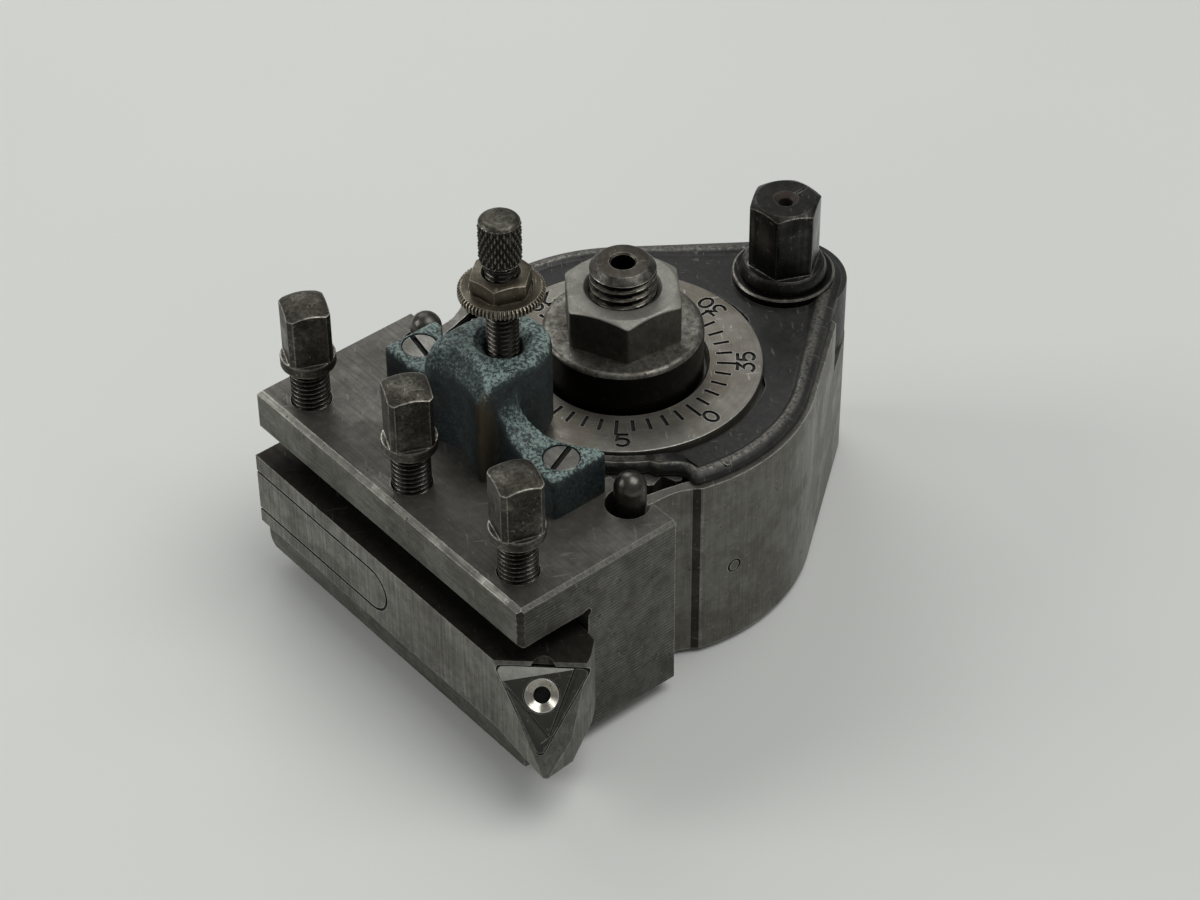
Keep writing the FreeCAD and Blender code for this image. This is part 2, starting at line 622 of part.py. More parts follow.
def cover(rivets):
    """The cast cover: a plate over the strap, with a skirt round the strap's corner."""
    plate = cut("cover_plate", teardrop("cover_outline", "Sizes.cover_inset", STRAP_TOP, COVER_TOP),
                cover_front())
    hole_radius = "Sizes.dial_radius + Sizes.cover_hole_gap + Sizes.clamp_travel / 2"
    hole = cylinder("cover_hole", hole_radius, STRAP_TOP + " - Sizes.overlap", COVER_TOP + OVER,
                    y="Sizes.clamp_travel / 2")
    soft = rounded("cover_soft", plate, "Sizes.cover_edge", at_level(COVER_TOP))
    skirt_top = STRAP_TOP + " + Sizes.cover_thickness / 2"
    skirt = cut("cover_skirt", cylinder("skirt_round", "Sizes.corner_radius - Sizes.skirt_inset",
                                        "Sizes.strap_step_height + Sizes.skirt_gap", skirt_top,
                                        y="Sizes.eccentric_offset"),
                cylinder("skirt_bore", "Sizes.corner_radius - Sizes.strap_wall", "0", STRAP_TOP,
                         y="Sizes.eccentric_offset"),
                box("skirt_front", BACKWARD, FAR, BACKWARD, "Sizes.eccentric_offset - Sizes.skirt_start",
                    "0", FAR))
    hub = cylinder("cover_hub", "Sizes.cover_hub_radius", STRAP_TOP + " - Sizes.cover_hub_depth", skirt_top,
                   y="Sizes.eccentric_offset")
    boss_top = COVER_TOP + " + Sizes.cover_boss_rise"
    boss = cylinder("cover_boss", "Sizes.cover_boss_radius", STRAP_TOP, boss_top, y="Sizes.eccentric_offset")
    wide = "Sizes.upper_journal_radius + Sizes.running_gap + Sizes.bush_wall"
    seat = cylinder("cover_bush_seat", wide, "0", boss_top + OVER, y="Sizes.eccentric_offset")
    # The hub is flat in front, so it clears the core when the clamp is open
    flat = box("hub_flat", BACKWARD, FAR, BACKWARD,
               "Sizes.tooth_tip_radius + Sizes.clamp_travel + Sizes.cover_hub_gap", "0", STRAP_TOP)
    whole = fuse("cover_whole", soft, skirt, cut("hub_cut", hub, flat), boss)
    keep(cut("top_cover", whole, hole, seat, *rivets), "top_cover")
    body = cylinder("upper_bush_body", wide, STRAP_TOP + " - Sizes.cover_hub_depth", boss_top,
                    y="Sizes.eccentric_offset")
    bore = cylinder("upper_bush_bore", "Sizes.upper_journal_radius + Sizes.running_gap", "0", boss_top + OVER,
                    y="Sizes.eccentric_offset")
    keep(cut("upper_bush", body, bore), "upper_bush")


def cover_front():
    """What the cover leaves open in front, where the holder's teeth come up to the core."""
    corner = "Sizes.strap_bend"
    block = box("cover_open", BACKWARD, FAR, BACKWARD, "-(%s)" % corner, "0", FAR)
    tongue = cylinder("cover_tongue", "Sizes.cover_front_radius", UNDER, FAR)
    return cut("cover_front", block, tongue)


def eccentric():
    """The shaft with its hexagon, flange, two journals and the offset cam between them."""
    y = "Sizes.eccentric_offset"
    plate_top = "(Sizes.strap_bottom + Sizes.plate_thickness)"
    hub_bottom = "(%s - Sizes.cover_hub_depth)" % STRAP_TOP
    boss_top = "(%s + Sizes.cover_boss_rise)" % COVER_TOP
    flange_bottom = "(%s + Sizes.seat_gap)" % boss_top
    flange_top = "(%s + Sizes.shaft_flange_height)" % flange_bottom
    hex_top = "(%s + Sizes.shaft_hex_height)" % flange_top
    cam_bottom = plate_top + " + Sizes.end_gap"
    cam_top = hub_bottom + " - Sizes.end_gap"
    lower = cylinder("shaft_lower", "Sizes.lower_journal_radius", "Sizes.shaft_foot", cam_bottom, y=y)
    cam = cylinder("shaft_cam", "Sizes.cam_radius", cam_bottom, cam_top, y=y + " - Sizes.cam_throw")
    upper = cylinder("shaft_upper", "Sizes.upper_journal_radius", cam_top, flange_bottom, y=y)
    flange = cone("shaft_flange", "Sizes.shaft_flange_radius",
                  "Sizes.shaft_flange_radius - Sizes.shaft_flange_taper", flange_bottom, flange_top, y=y)
    flats = regular("shaft_flats", 6, "Sizes.shaft_hex_across_flats", flange_top, hex_top, y=y,
                    turn=SHAFT_TURN)
    corner = "Sizes.shaft_hex_across_flats / 2 / cos(30 deg)"
    crown = cone("shaft_crown", corner + " + 4 * Sizes.shaft_crown", corner + " - Sizes.shaft_crown",
                 hex_top + " - 2.5 * Sizes.shaft_crown", hex_top, y=y)
    under = cylinder("shaft_under_crown", corner + OVER, flange_top, hex_top + " - 2.5 * Sizes.shaft_crown",
                     y=y)
    head = common("shaft_head", flats, fuse("shaft_limit", crown, under))
    centre = cone("shaft_centre", "0", "Sizes.shaft_centre_radius", hex_top + " - Sizes.shaft_centre_depth",
                  hex_top, y=y)
    neck_top = "Sizes.strap_bottom - Sizes.running_gap"
    neck_radius = "Sizes.lower_journal_radius - Sizes.ring_groove_depth"
    groove = cut("shaft_groove", cylinder("groove_outer", "Sizes.lower_journal_radius" + OVER,
                                          neck_top + " - Sizes.ring_thickness", neck_top, y=y),
                 cylinder("groove_core", neck_radius, "0", plate_top, y=y))
    keep(cut("eccentric_shaft", fuse("shaft_whole", lower, cam, upper, flange, head), centre, groove),
         "eccentric_shaft")
    ring = cylinder("ring_body", "Sizes.ring_radius", neck_top + " - Sizes.ring_thickness", neck_top, y=y)
    bore = cylinder("ring_bore", neck_radius, "0", plate_top, y=y)
    gap = box("ring_split", "-Sizes.ring_split / 2", "Sizes.ring_split / 2", y, FAR, "0", plate_top)
    keep(cut("retaining_ring", ring, bore, gap), "retaining_ring")


def holder():
    """The slotted block with its internal teeth and the two keyholes for the strap's pins."""
    half = "Sizes.holder_length / 2"
    corners = [("-" + half, "-Sizes.holder_front"), (half, "-Sizes.holder_front"),
               (half, "-Sizes.holder_back"),
               ("Sizes.lip_x", "-Sizes.holder_lip"), ("-Sizes.lip_x", "-Sizes.holder_lip"),
               ("-" + half, "-Sizes.holder_back")]
    blank = prism("holder_blank", corners, "Sizes.holder_bottom", HOLDER_TOP)
    doc.recompute()
    side = number(half) - 1e-6
    front = -number("Sizes.holder_front") + 1e-6

    def outer(edge):
        """True for an edge of the block's ends or its front."""
        return max(edge.BoundBox.XMin, -edge.BoundBox.XMax) > side or edge.BoundBox.YMax < front

    bevelled = rounded("holder_bevelled", blank, "Sizes.holder_edge", outer, "Part::Chamfer")
    worn = doc.addObject("Part::Box", "holder_worn")
    bind(worn, Length=FAR, Width=FAR, Height=FAR, place_y=BACKWARD)
    bind(worn, place_x="-Sizes.holder_length / 2 + Sizes.holder_worn_corner" + OVER,
         place_z="Sizes.holder_bottom - Sizes.overlap")
    worn.Placement.Rotation = FreeCAD.Rotation(FreeCAD.Vector(0, 1, 0), -135)
    slot = box("tool_slot", BACKWARD, FAR, BACKWARD, "-Sizes.slot_back", SLOT_FLOOR, SLOT_ROOF)
    relief = rod("slot_relief", "Sizes.slot_relief_radius", "Sizes.holder_length + 2 * Sizes.overlap",
                 FreeCAD.Vector(-number(half + OVER), -number("Sizes.slot_back"),
                                number(SLOT_ROOF) - number("Sizes.slot_relief_radius") / 2),
                 FreeCAD.Vector(1, 0, 0))
    space = toothed("tooth_space", "Sizes.tooth_tip_radius + Sizes.tip_gap",
                    "Sizes.tooth_tip_radius - Sizes.tooth_depth + Sizes.mesh_gap",
                    "Sizes.groove_half_width", UNDER, FAR)
    tools = [worn, slot, relief, space]
    channel = [("Sizes.pin_x - Sizes.keyhole_left", "-Sizes.pin_y"),
               ("Sizes.pin_x + Sizes.keyhole_right", "-Sizes.pin_y" + OVER),
               ("Sizes.pin_x + Sizes.keyhole_right", "-Sizes.holder_lip + 2 * Sizes.overlap"),
               ("Sizes.pin_x - Sizes.keyhole_left", "-Sizes.holder_lip + 2 * Sizes.overlap")]
    way = prism("keyhole_way", channel, UNDER, FAR)
    tools += [way, mirrored("keyhole_way_left", way)]
    for name, sign in (("right", ""), ("left", "-")):
        tools.append(cylinder("keyhole_" + name, "Sizes.keyhole_radius", UNDER, FAR, x=sign + "Sizes.pin_x",
                              y="-Sizes.pin_y - Sizes.keyhole_shift"))
        tools.append(cylinder("foot_hole_" + name, "Sizes.foot_screw_radius",
                              HOLDER_TOP + " - Sizes.foot_screw_depth", FAR, x=sign + "Sizes.bracket_foot_x",
                              y="-Sizes.bracket_foot_y"))
    for index in (-1, 0, 1):
        tools.append(cylinder("screw_hole_%d" % (index + 2), "Sizes.screw_radius + Sizes.running_gap",
                              SLOT_ROOF + " - Sizes.overlap", FAR, x="%d * Sizes.screw_spacing" % index,
                              y="-Sizes.screw_y"))
    keep(cut("holder_block", bevelled, *tools), "holder_block")


def bracket():
    """The cast bridge on the holder that carries the height screw."""
    top = "Sizes.bracket_top"
    centre = "-Sizes.bracket_y"
    tower = cylinder("bracket_boss", "Sizes.bracket_radius", HOLDER_TOP, top, y=centre)
    nose = box("bracket_nose", "-Sizes.bracket_radius", "Sizes.bracket_radius", "-Sizes.bracket_front",
               centre, HOLDER_TOP, top)
    foot_top = "(%s + Sizes.bracket_foot_height)" % HOLDER_TOP
    wing = box("bracket_wing", "-Sizes.bracket_end_x", "Sizes.bracket_end_x", "-Sizes.bracket_wing_front",
               "-Sizes.bracket_wing_back", HOLDER_TOP, foot_top + " + Sizes.bracket_sweep_radius")
    cuts = []
    length = "Sizes.bracket_wing_front - Sizes.bracket_wing_back + 2 * Sizes.overlap"
    for name, sign in (("right", 1), ("left", -1)):
        word = "" if sign > 0 else "-"
        place = {"x": word + "Sizes.bracket_foot_x", "y": "-Sizes.bracket_foot_y"}
        sweep = FreeCAD.Vector(sign * number("Sizes.bracket_radius + Sizes.bracket_sweep_radius"),
                               -number("Sizes.bracket_wing_back - Sizes.overlap"),
                               number(foot_top + " + Sizes.bracket_sweep_radius"))
        cuts.append(rod("bracket_sweep_" + name, "Sizes.bracket_sweep_radius", length, sweep,
                        FreeCAD.Vector(0, -1, 0)))
        cuts.append(cylinder("foot_shank_" + name, "Sizes.foot_screw_radius", "0", FAR, **place))
        cuts.append(cone("foot_sink_" + name, "Sizes.foot_screw_radius", "Sizes.foot_screw_head_radius",
                         foot_top + " - Sizes.foot_screw_head_height - Sizes.foot_screw_sink",
                         foot_top + " - Sizes.foot_screw_sink", **place))
        cuts.append(cylinder("foot_mouth_" + name, "Sizes.foot_screw_head_radius",
                             foot_top + " - Sizes.foot_screw_sink", FAR, **place))
        edge = "Sizes.bracket_radius + Sizes.bracket_sweep_radius"
        left, right = (edge, FAR) if sign > 0 else (BACKWARD, "-(%s)" % edge)
        cuts.append(box("bracket_level_" + name, left, right, BACKWARD, "0", foot_top, FAR))
    front = cylinder("bracket_cut", "Sizes.bracket_cut_radius", "0", FAR, y="-Sizes.screw_y")
    under_radius = "Sizes.cover_front_radius + Sizes.clamp_travel + Sizes.bracket_reach_gap"
    under = cylinder("bracket_under", under_radius, "0", HOLDER_TOP + " + Sizes.bracket_under_gap")
    bore = cylinder("height_bore", "Sizes.height_screw_radius + Sizes.running_gap", "0", FAR, y=centre)
    mouth = cone("height_mouth", "Sizes.height_screw_radius + Sizes.running_gap",
                 "Sizes.bracket_mouth_radius", top + " - Sizes.bracket_mouth_depth", top, y=centre)
    whole = fuse("bracket_whole", tower, nose, wing)
    keep(cut("height_bracket", whole, front, under, bore, mouth, *cuts), "height_bracket")
    for name, sign, turn in FOOT_SCREW_TURNS:
        foot_screw(name, sign, turn, foot_top)


def foot_screw(name, sign, turn, foot_top):
    """A slotted countersunk screw that holds one foot of the bracket."""
    place = {"x": sign + "Sizes.bracket_foot_x", "y": "-Sizes.bracket_foot_y"}
    head_top = "(%s - Sizes.foot_screw_sink)" % foot_top
    neck = "(%s - Sizes.foot_screw_head_height)" % head_top
    head = cone("screw_head_" + name, "Sizes.foot_screw_radius", "Sizes.foot_screw_head_radius", neck,
                head_top, **place)
    shank = cylinder("screw_shank_" + name, "Sizes.foot_screw_radius",
                     HOLDER_TOP + " - Sizes.foot_screw_depth", neck, **place)
    slot = doc.addObject("Part::Box", "screw_slot_" + name)
    bind(slot, Length=FAR, Width="Sizes.foot_screw_slot", Height=FAR)
    floor = number(head_top + " - Sizes.foot_screw_slot_depth")
    middle = FreeCAD.Vector(number(place["x"]), number(place["y"]), floor)
    spin = FreeCAD.Rotation(FreeCAD.Vector(0, 0, 1), turn)
    offset = spin.multVec(FreeCAD.Vector(-number(FAR) / 2, -number("Sizes.foot_screw_slot") / 2, 0))
    slot.Placement = FreeCAD.Placement(middle + offset, spin)
    keep(cut("bracket_screw_" + name, fuse("screw_body_" + name, head, shank), slot), "bracket_screw_" + name)


def clamp_screws():
    """Three square-headed screws through the upper jaw onto the tool."""
    for name, index, turn in SCREW_TURNS:
        place = {"x": "%d * Sizes.screw_spacing" % index, "y": "-Sizes.screw_y"}
        tip = "(%s + Sizes.seat_gap)" % TOOL_TOP
        collar = "(%s + Sizes.screw_exposed)" % HOLDER_TOP
        head = "(%s + Sizes.screw_collar_height)" % collar
        top = "(%s + Sizes.screw_head_height)" % head
        point_top = tip + " + Sizes.screw_point_length"
        point = cylinder("point_" + name, "Sizes.screw_point_radius", tip, point_top, **place)
        thread = cylinder("thread_" + name, "Sizes.screw_radius", point_top, collar, **place)
        ring = cylinder("screw_collar_" + name, "Sizes.screw_collar_radius", collar, head, **place)
        square = regular("square_" + name, 4, "Sizes.screw_head_across_flats", head, top, turn=turn, **place)
        corner = "Sizes.screw_head_corner_radius"
        crown = cone("square_crown_" + name, corner, corner + " - 2 * Sizes.screw_head_crown",
                     top + " - Sizes.screw_head_crown", top, **place)
        body = cylinder("square_body_" + name, corner, head, top + " - Sizes.screw_head_crown", **place)
        block = common("square_head_" + name, square, fuse("square_limit_" + name, crown, body))
        keep(fuse("clamp_screw_" + name, point, thread, ring, block), "clamp_screw_" + name)


def height_screw():
    """The knurled screw that sets the holder's height, and its lock nut."""
    y = "-Sizes.bracket_y"
    tip = "(%s + Sizes.height_screw_tip_gap)" % COVER_TOP
    knob_top = "(Sizes.knob_bottom + Sizes.knob_length)"
    shape = [("0", tip), ("Sizes.height_screw_radius - Sizes.height_screw_edge", tip),
             ("Sizes.height_screw_radius", tip + " + Sizes.height_screw_edge"),
             ("Sizes.height_screw_radius", "Sizes.knob_bottom"),
             ("Sizes.knob_radius - Sizes.knob_edge", "Sizes.knob_bottom"),
             ("Sizes.knob_radius", "Sizes.knob_bottom + Sizes.knob_edge"), ("Sizes.knob_radius", knob_top),
             ("Sizes.knob_radius - Sizes.knob_crown", knob_top + " + Sizes.knob_crown"),
             ("0", knob_top + " + Sizes.knob_crown")]
    keep(turned("height_screw_body", shape, y=y), "height_screw")
    flange_top = "(Sizes.lock_nut_bottom + Sizes.lock_flange_thickness)"
    flange = cylinder("lock_flange", "Sizes.lock_flange_radius", "Sizes.lock_nut_bottom", flange_top, y=y)
    flats = regular("lock_flats", 6, "Sizes.lock_hex_across_flats", flange_top,
                    flange_top + " + Sizes.lock_hex_height", y=y, turn=LOCK_TURN)
    bore = cylinder("lock_bore", "Sizes.height_screw_radius + Sizes.running_gap", "0", FAR, y=y)
    keep(cut("lock_nut", fuse("lock_body", flange, flats), bore), "lock_nut")


def on_rake(depth):
    """The placement of things that sit square to the insert's face, at a depth below it."""
    turn = FreeCAD.Rotation(number("Sizes.rake_angle"), 0, number("Sizes.rake_tilt"))
    centre = FreeCAD.Vector(number("Sizes.insert_x"), -number("Sizes.insert_y"),
                            number(TOOL_TOP + " - Sizes.insert_drop"))
    return FreeCAD.Placement(centre + turn.multVec(FreeCAD.Vector(0, 0, -depth)), turn)


def triangle(name, side, thickness, depth):
    """A three-sided plate with one corner down the slope, its lower face at a depth."""
    reach = "(%s) / sqrt(3)" % side
    corners = [("0", "-" + reach), ("(%s) / 2" % side, "%s / 2" % reach),
               ("-(%s) / 2" % side, "%s / 2" % reach)]
    body = prism(name, corners, "0", thickness)
    doc.recompute()
    soft = rounded(name + "_soft", body, "Sizes.insert_nose", lambda edge: edge.BoundBox.ZLength > 1e-3)
    soft.Placement = on_rake(depth)
    return soft


def rake_rod(name, radius, length, depth):
    """A cylinder square to the insert's face, from a depth upwards."""
    item = doc.addObject("Part::Cylinder", name)
    item.Placement = on_rake(depth)
    return bind(item, Radius=radius, Height=length)


def tool():
    """The turning tool: a square shank, its slanted head and the insert with its seat."""
    back = "-Sizes.slot_back - Sizes.tool_back_gap"
    corners = [("-Sizes.tool_left", "-Sizes.tool_front"), ("Sizes.tool_neck", "-Sizes.tool_front"),
               ("Sizes.tool_tip_x", "-Sizes.tool_tip_y"),
               ("Sizes.tool_tip_x - Sizes.tool_side_lean", "-Sizes.tool_tip_y + Sizes.tool_side_length"),
               ("Sizes.tool_end_x", "-Sizes.tool_end_y"),
               ("Sizes.tool_end_x - Sizes.tool_heel_lean", "-Sizes.tool_end_y + Sizes.tool_heel_length"),
               ("Sizes.tool_end_x - Sizes.tool_back_lean", back), ("-Sizes.tool_left", back)]
    bar = prism("tool_bar", corners, SLOT_FLOOR + " + Sizes.seat_gap", TOOL_TOP)
    face = doc.addObject("Part::Box", "rake_face")
    bind(face, Length=FAR, Width=FAR, Height=FAR)
    place = on_rake(number("Sizes.insert_proud"))
    half = number(FAR) / 2
    face.Placement = FreeCAD.Placement(place.multVec(FreeCAD.Vector(-half, -half, 0)), place.Rotation)
    stack = number("Sizes.insert_thickness + Sizes.shim_thickness")
    pocket = triangle("insert_pocket", "Sizes.insert_side + 4 * Sizes.pocket_gap",
                      "Sizes.insert_thickness + Sizes.shim_thickness" + OVER, stack)
    notch_place = on_rake(number("Sizes.insert_proud + Sizes.pocket_notch_depth"))
    notch = doc.addObject("Part::Cylinder", "pocket_notch")
    top_edge = FreeCAD.Vector(0, number("Sizes.insert_side / sqrt(3) / 2"), 0)
    notch.Placement = FreeCAD.Placement(notch_place.multVec(top_edge), notch_place.Rotation)
    bind(notch, Radius="Sizes.pocket_notch_radius", Height=FAR)
    tap = rake_rod("insert_tap", "Sizes.insert_screw_radius", "Sizes.insert_screw_length" + OVER,
                   number("Sizes.insert_screw_length"))
    keep(cut("tool_shank", bar, face, pocket, notch, tap), "tool_shank")
    shim = triangle("shim_plate", "Sizes.insert_side - Sizes.shim_inset", "Sizes.shim_thickness", stack)
    shim_hole = rake_rod("shim_hole", "Sizes.insert_screw_radius", FAR, half)
    keep(cut("insert_shim", shim, shim_hole), "insert_shim")
    plate = triangle("insert_plate", "Sizes.insert_side", "Sizes.insert_thickness",
                     number("Sizes.insert_thickness"))
    hole = rake_rod("insert_hole", "Sizes.insert_hole_radius", FAR, half)
    sink = doc.addObject("Part::Cone", "insert_sink")
    sink.Placement = on_rake(number("Sizes.insert_sink_radius - Sizes.insert_hole_radius"))
    bind(sink, Radius1="Sizes.insert_hole_radius", Radius2="Sizes.insert_sink_radius",
         Height="Sizes.insert_sink_radius - Sizes.insert_hole_radius")
    keep(cut("cutting_insert", plate, hole, sink), "cutting_insert")
    insert_screw()


def insert_screw():
    """The small screw through the insert and its shim."""
    length = number("Sizes.insert_screw_length")
    shank = rake_rod("insert_screw_shank", "Sizes.insert_screw_radius",
                     "Sizes.insert_screw_length - Sizes.insert_screw_step", length)
    neck = rake_rod("insert_screw_neck", "Sizes.insert_hole_radius",
                    "Sizes.insert_thickness - Sizes.insert_screw_step", number("Sizes.insert_thickness"))
    head = doc.addObject("Part::Cone", "insert_screw_head")
    head.Placement = on_rake(number("Sizes.insert_sink_radius - Sizes.insert_hole_radius"))
    bind(head, Radius1="Sizes.insert_hole_radius", Radius2="Sizes.insert_sink_radius",
         Height="Sizes.insert_sink_radius - Sizes.insert_hole_radius")
    hole = rake_rod("insert_screw_socket", "Sizes.insert_screw_hole", FAR,
                    number("Sizes.insert_socket_depth"))
    keep(cut("insert_screw", fuse("insert_screw_whole", shank, neck, head), hole), "insert_screw")


def write_parts():
    """Check every object and solid, then write one file for each sub-part."""
    doc.recompute()
    for item in doc.Objects:
        bad = [word for word in item.State if word in ("Invalid", "Error")]
        if bad:
            raise RuntimeError("%s did not build: %s" % (item.Name, bad))
    os.makedirs("parts", exist_ok=True)
    for item in parts:
        shape = item.Shape
        if shape.isNull() or not shape.isValid() or not shape.Solids:
            raise RuntimeError("%s has no valid solid" % item.Label)
        shape.exportStep(os.path.join("parts", item.Label + ".step"))
        print(item.Label, len(shape.Solids), round(shape.Volume, 2))


fill_sheet()
core()
pressure_block()
rivet_tools = strap()
base_plate()
cover(rivet_tools)
eccentric()
holder()
bracket()
clamp_screws()
height_screw()
tool()
write_parts()
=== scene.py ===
"""Looks for a quick-change lathe tool post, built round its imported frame.

Pieces are drawn in millimetres in the frame's own axes, and scaled to metres when they are handed over.
"""

from __future__ import annotations

import json
import logging
import math
from dataclasses import dataclass, field
from enum import Enum
from functools import partial
from typing import Any, Callable, Iterable, Sequence

import bmesh
import bpy
from mathutils import Matrix, Vector

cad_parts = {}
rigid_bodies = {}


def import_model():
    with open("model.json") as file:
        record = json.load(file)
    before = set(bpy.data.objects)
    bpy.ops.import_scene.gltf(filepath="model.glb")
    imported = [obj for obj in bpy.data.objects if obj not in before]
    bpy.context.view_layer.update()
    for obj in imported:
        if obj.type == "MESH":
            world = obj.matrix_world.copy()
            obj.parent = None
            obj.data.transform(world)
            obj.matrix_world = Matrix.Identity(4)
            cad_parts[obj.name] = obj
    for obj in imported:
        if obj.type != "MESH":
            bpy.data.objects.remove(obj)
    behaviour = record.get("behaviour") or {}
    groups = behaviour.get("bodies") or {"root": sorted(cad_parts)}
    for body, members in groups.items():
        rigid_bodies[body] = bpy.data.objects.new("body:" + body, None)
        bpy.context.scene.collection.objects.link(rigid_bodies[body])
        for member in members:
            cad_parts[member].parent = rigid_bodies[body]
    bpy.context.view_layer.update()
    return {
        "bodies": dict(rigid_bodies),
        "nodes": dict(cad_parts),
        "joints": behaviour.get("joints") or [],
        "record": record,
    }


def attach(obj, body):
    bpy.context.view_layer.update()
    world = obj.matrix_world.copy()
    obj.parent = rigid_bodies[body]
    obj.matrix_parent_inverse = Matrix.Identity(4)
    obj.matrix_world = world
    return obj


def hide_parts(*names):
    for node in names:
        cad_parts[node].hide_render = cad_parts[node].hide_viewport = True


log = logging.getLogger("tool_post")

TEETH = 40
PITCH = 360.0 / TEETH
MM = 0.001
TAU = 2.0 * math.pi
Flat = tuple[float, float]
Point = tuple[float, float, float]
Colour = tuple[int, int, int]


def polar(radius: float, degrees: float, centre: Flat = (0.0, 0.0)) -> Flat:
    """A point at a radius and an angle, in degrees from +X towards +Y, about a centre."""
    turn = math.radians(degrees)
    return centre[0] + radius * math.cos(turn), centre[1] + radius * math.sin(turn)


def arc(radius: float, start: float, end: float, steps: int, centre: Flat = (0.0, 0.0)) -> list[Flat]:
    """Evenly spaced points on an arc between two angles in degrees, both ends included."""
    return [polar(radius, start + (end - start) * step / steps, centre) for step in range(steps + 1)]


def circle(radius: float, level: float, steps: int, centre: Flat = (0.0, 0.0),
           start: float = 0.0) -> list[Point]:
    """A level ring of points about an upright axis, from a start angle in degrees."""
    return [(*polar(radius, start + 360.0 * step / steps, centre), level) for step in range(steps)]


def offset_outline(outline: Sequence[Flat], inset: Callable[[int], float]) -> list[Flat]:
    """A closed outline drawn in along its normals.

    Args:
        outline: Points in anticlockwise order.
        inset: Gives the distance for a point's index.

    Returns:
        The moved points.
    """
    moved = []
    count = len(outline)
    for index, (x, y) in enumerate(outline):
        before = outline[index - 1]
        after = outline[(index + 1) % count]
        along = Vector((after[0] - before[0], after[1] - before[1])).normalized()
        distance = inset(index)
        moved.append((x - along.y * distance, y + along.x * distance))
    return moved


def smooth(value: float, low: float, high: float) -> float:
    """Zero below low, one above high and a smooth rise between them."""
    part = min(max((value - low) / (high - low), 0.0), 1.0)
    return part * part * (3.0 - 2.0 * part)


class Draft:
    """A mesh being drawn in millimetres."""

    def __init__(self) -> None:
        """Start with nothing drawn."""
        self.mesh = bmesh.new()

    def loft(self, rings: Sequence[Sequence[Point]], closed: bool = False) -> Draft:
        """Skin equal rings of points, each joined to the next.

        Args:
            rings: The rings, anticlockwise seen from their far end.
            closed: Join the last ring to the first instead of covering both ends.

        Returns:
            This draft.
        """
        rows = [[self.mesh.verts.new(point) for point in ring] for ring in rings]
        pairs = list(zip(rows, rows[1:]))
        if closed:
            pairs.append((rows[-1], rows[0]))
        count = len(rows[0])
        for low, high in pairs:
            for index in range(count):
                following = (index + 1) % count
                self.mesh.faces.new((low[index], low[following], high[following], high[index]))
        if not closed:
            self.mesh.faces.new(list(reversed(rows[0])))
            self.mesh.faces.new(rows[-1])
        return self

    def turned(self, profile: Sequence[Flat], centre: Flat = (0.0, 0.0), steps: int = 96,
               closed: bool = False) -> Draft:
        """Turn a profile of radii and levels about an upright axis; a closed one is a ring's."""
        return self.loft([circle(radius, level, steps, centre) for radius, level in profile], closed)

    def prism(self, outline: Sequence[Flat], bottom: float, top: float) -> Draft:
        """Raise an anticlockwise outline between two levels."""
        return self.loft([[(x, y, level) for x, y in outline] for level in (bottom, top)])

    def block(self, low: Point, high: Point) -> Draft:
        """A box between its lowest and its highest corner."""
        return self.prism([(low[0], low[1]), (high[0], low[1]), (high[0], high[1]), (low[0], high[1])],
                          low[2], high[2])

    def sweep(self, path: Sequence[Flat], width: float, bottom: float, top: float,
              closed: bool = False) -> Draft:
        """A flat-sided stroke along a path, with mitred corners.

        Args:
            path: The stroke's middle line.
            width: The stroke's width.
            bottom: Lower level.
            top: Upper level.
            closed: The path joins its own start.

        Returns:
            This draft.
        """
        rings = []
        last = len(path) - 1
        for index, (x, y) in enumerate(path):
            before = path[index - 1] if index or closed else None
            after = path[(index + 1) % len(path)] if index < last or closed else None
            here = Vector((x, y))
            into = (here - Vector(before)).normalized() if before else None
            away = (Vector(after) - here).normalized() if after else None
            into = into or away
            away = away or into
            along = (into + away).normalized()
            side = Vector((-along.y, along.x))
            reach = width / 2.0 / max(side.dot(Vector((-into.y, into.x))), 0.4)
            left = here + side * reach
            right = here - side * reach
            rings.append([(right.x, right.y, bottom), (left.x, left.y, bottom),
                          (left.x, left.y, top), (right.x, right.y, top)])
        return self.loft(rings, closed)

    def moved(self, place: Matrix) -> Draft:
        """Move all that is drawn so far."""
        self.mesh.transform(place)
        return self

    def piece(self, name: str) -> bpy.types.Object:
        """Turn the drawing into an object, still in millimetres.

        Args:
            name: The object's name.

        Returns:
            The object.
        """
        bmesh.ops.recalc_face_normals(self.mesh, faces=self.mesh.faces[:])
        data = bpy.data.meshes.new(name)
        self.mesh.to_mesh(data)
        self.mesh.free()
        item = bpy.data.objects.new(name, data)
        bpy.context.scene.collection.objects.link(item)
        return item


class Join(Enum):
    """How one solid meets another."""

    CUT = "DIFFERENCE"
    ADD = "UNION"


def settle(item: bpy.types.Object) -> bpy.types.Object:
    """Turn an object's modifiers into its own mesh.

    Args:
        item: The object.

    Returns:
        The same object.
    """
    view = bpy.context.evaluated_depsgraph_get()
    view.update()
    fresh = bpy.data.meshes.new_from_object(item.evaluated_get(view))
    old = item.data
    item.modifiers.clear()
    item.data = fresh
    bpy.data.meshes.remove(old)
    return item


def combine(item: bpy.types.Object, other: bpy.types.Object, how: Join = Join.CUT,
            tangled: bool = False) -> bpy.types.Object:
    """Cut, add or intersect one object with another, which is used up.

    Args:
        item: The object that is kept.
        other: The tool.
        how: What is done.
        tangled: The tool's parts overlap one another.

    Returns:
        The kept object.
    """
    step = item.modifiers.new("combine", "BOOLEAN")
    step.operation = how.value
    step.object = other
    step.solver = "EXACT"
    step.use_self = tangled
    step.material_mode = "TRANSFER" if other.data.materials else "INDEX"
    settle(item)
    bpy.data.objects.remove(other)
    return item


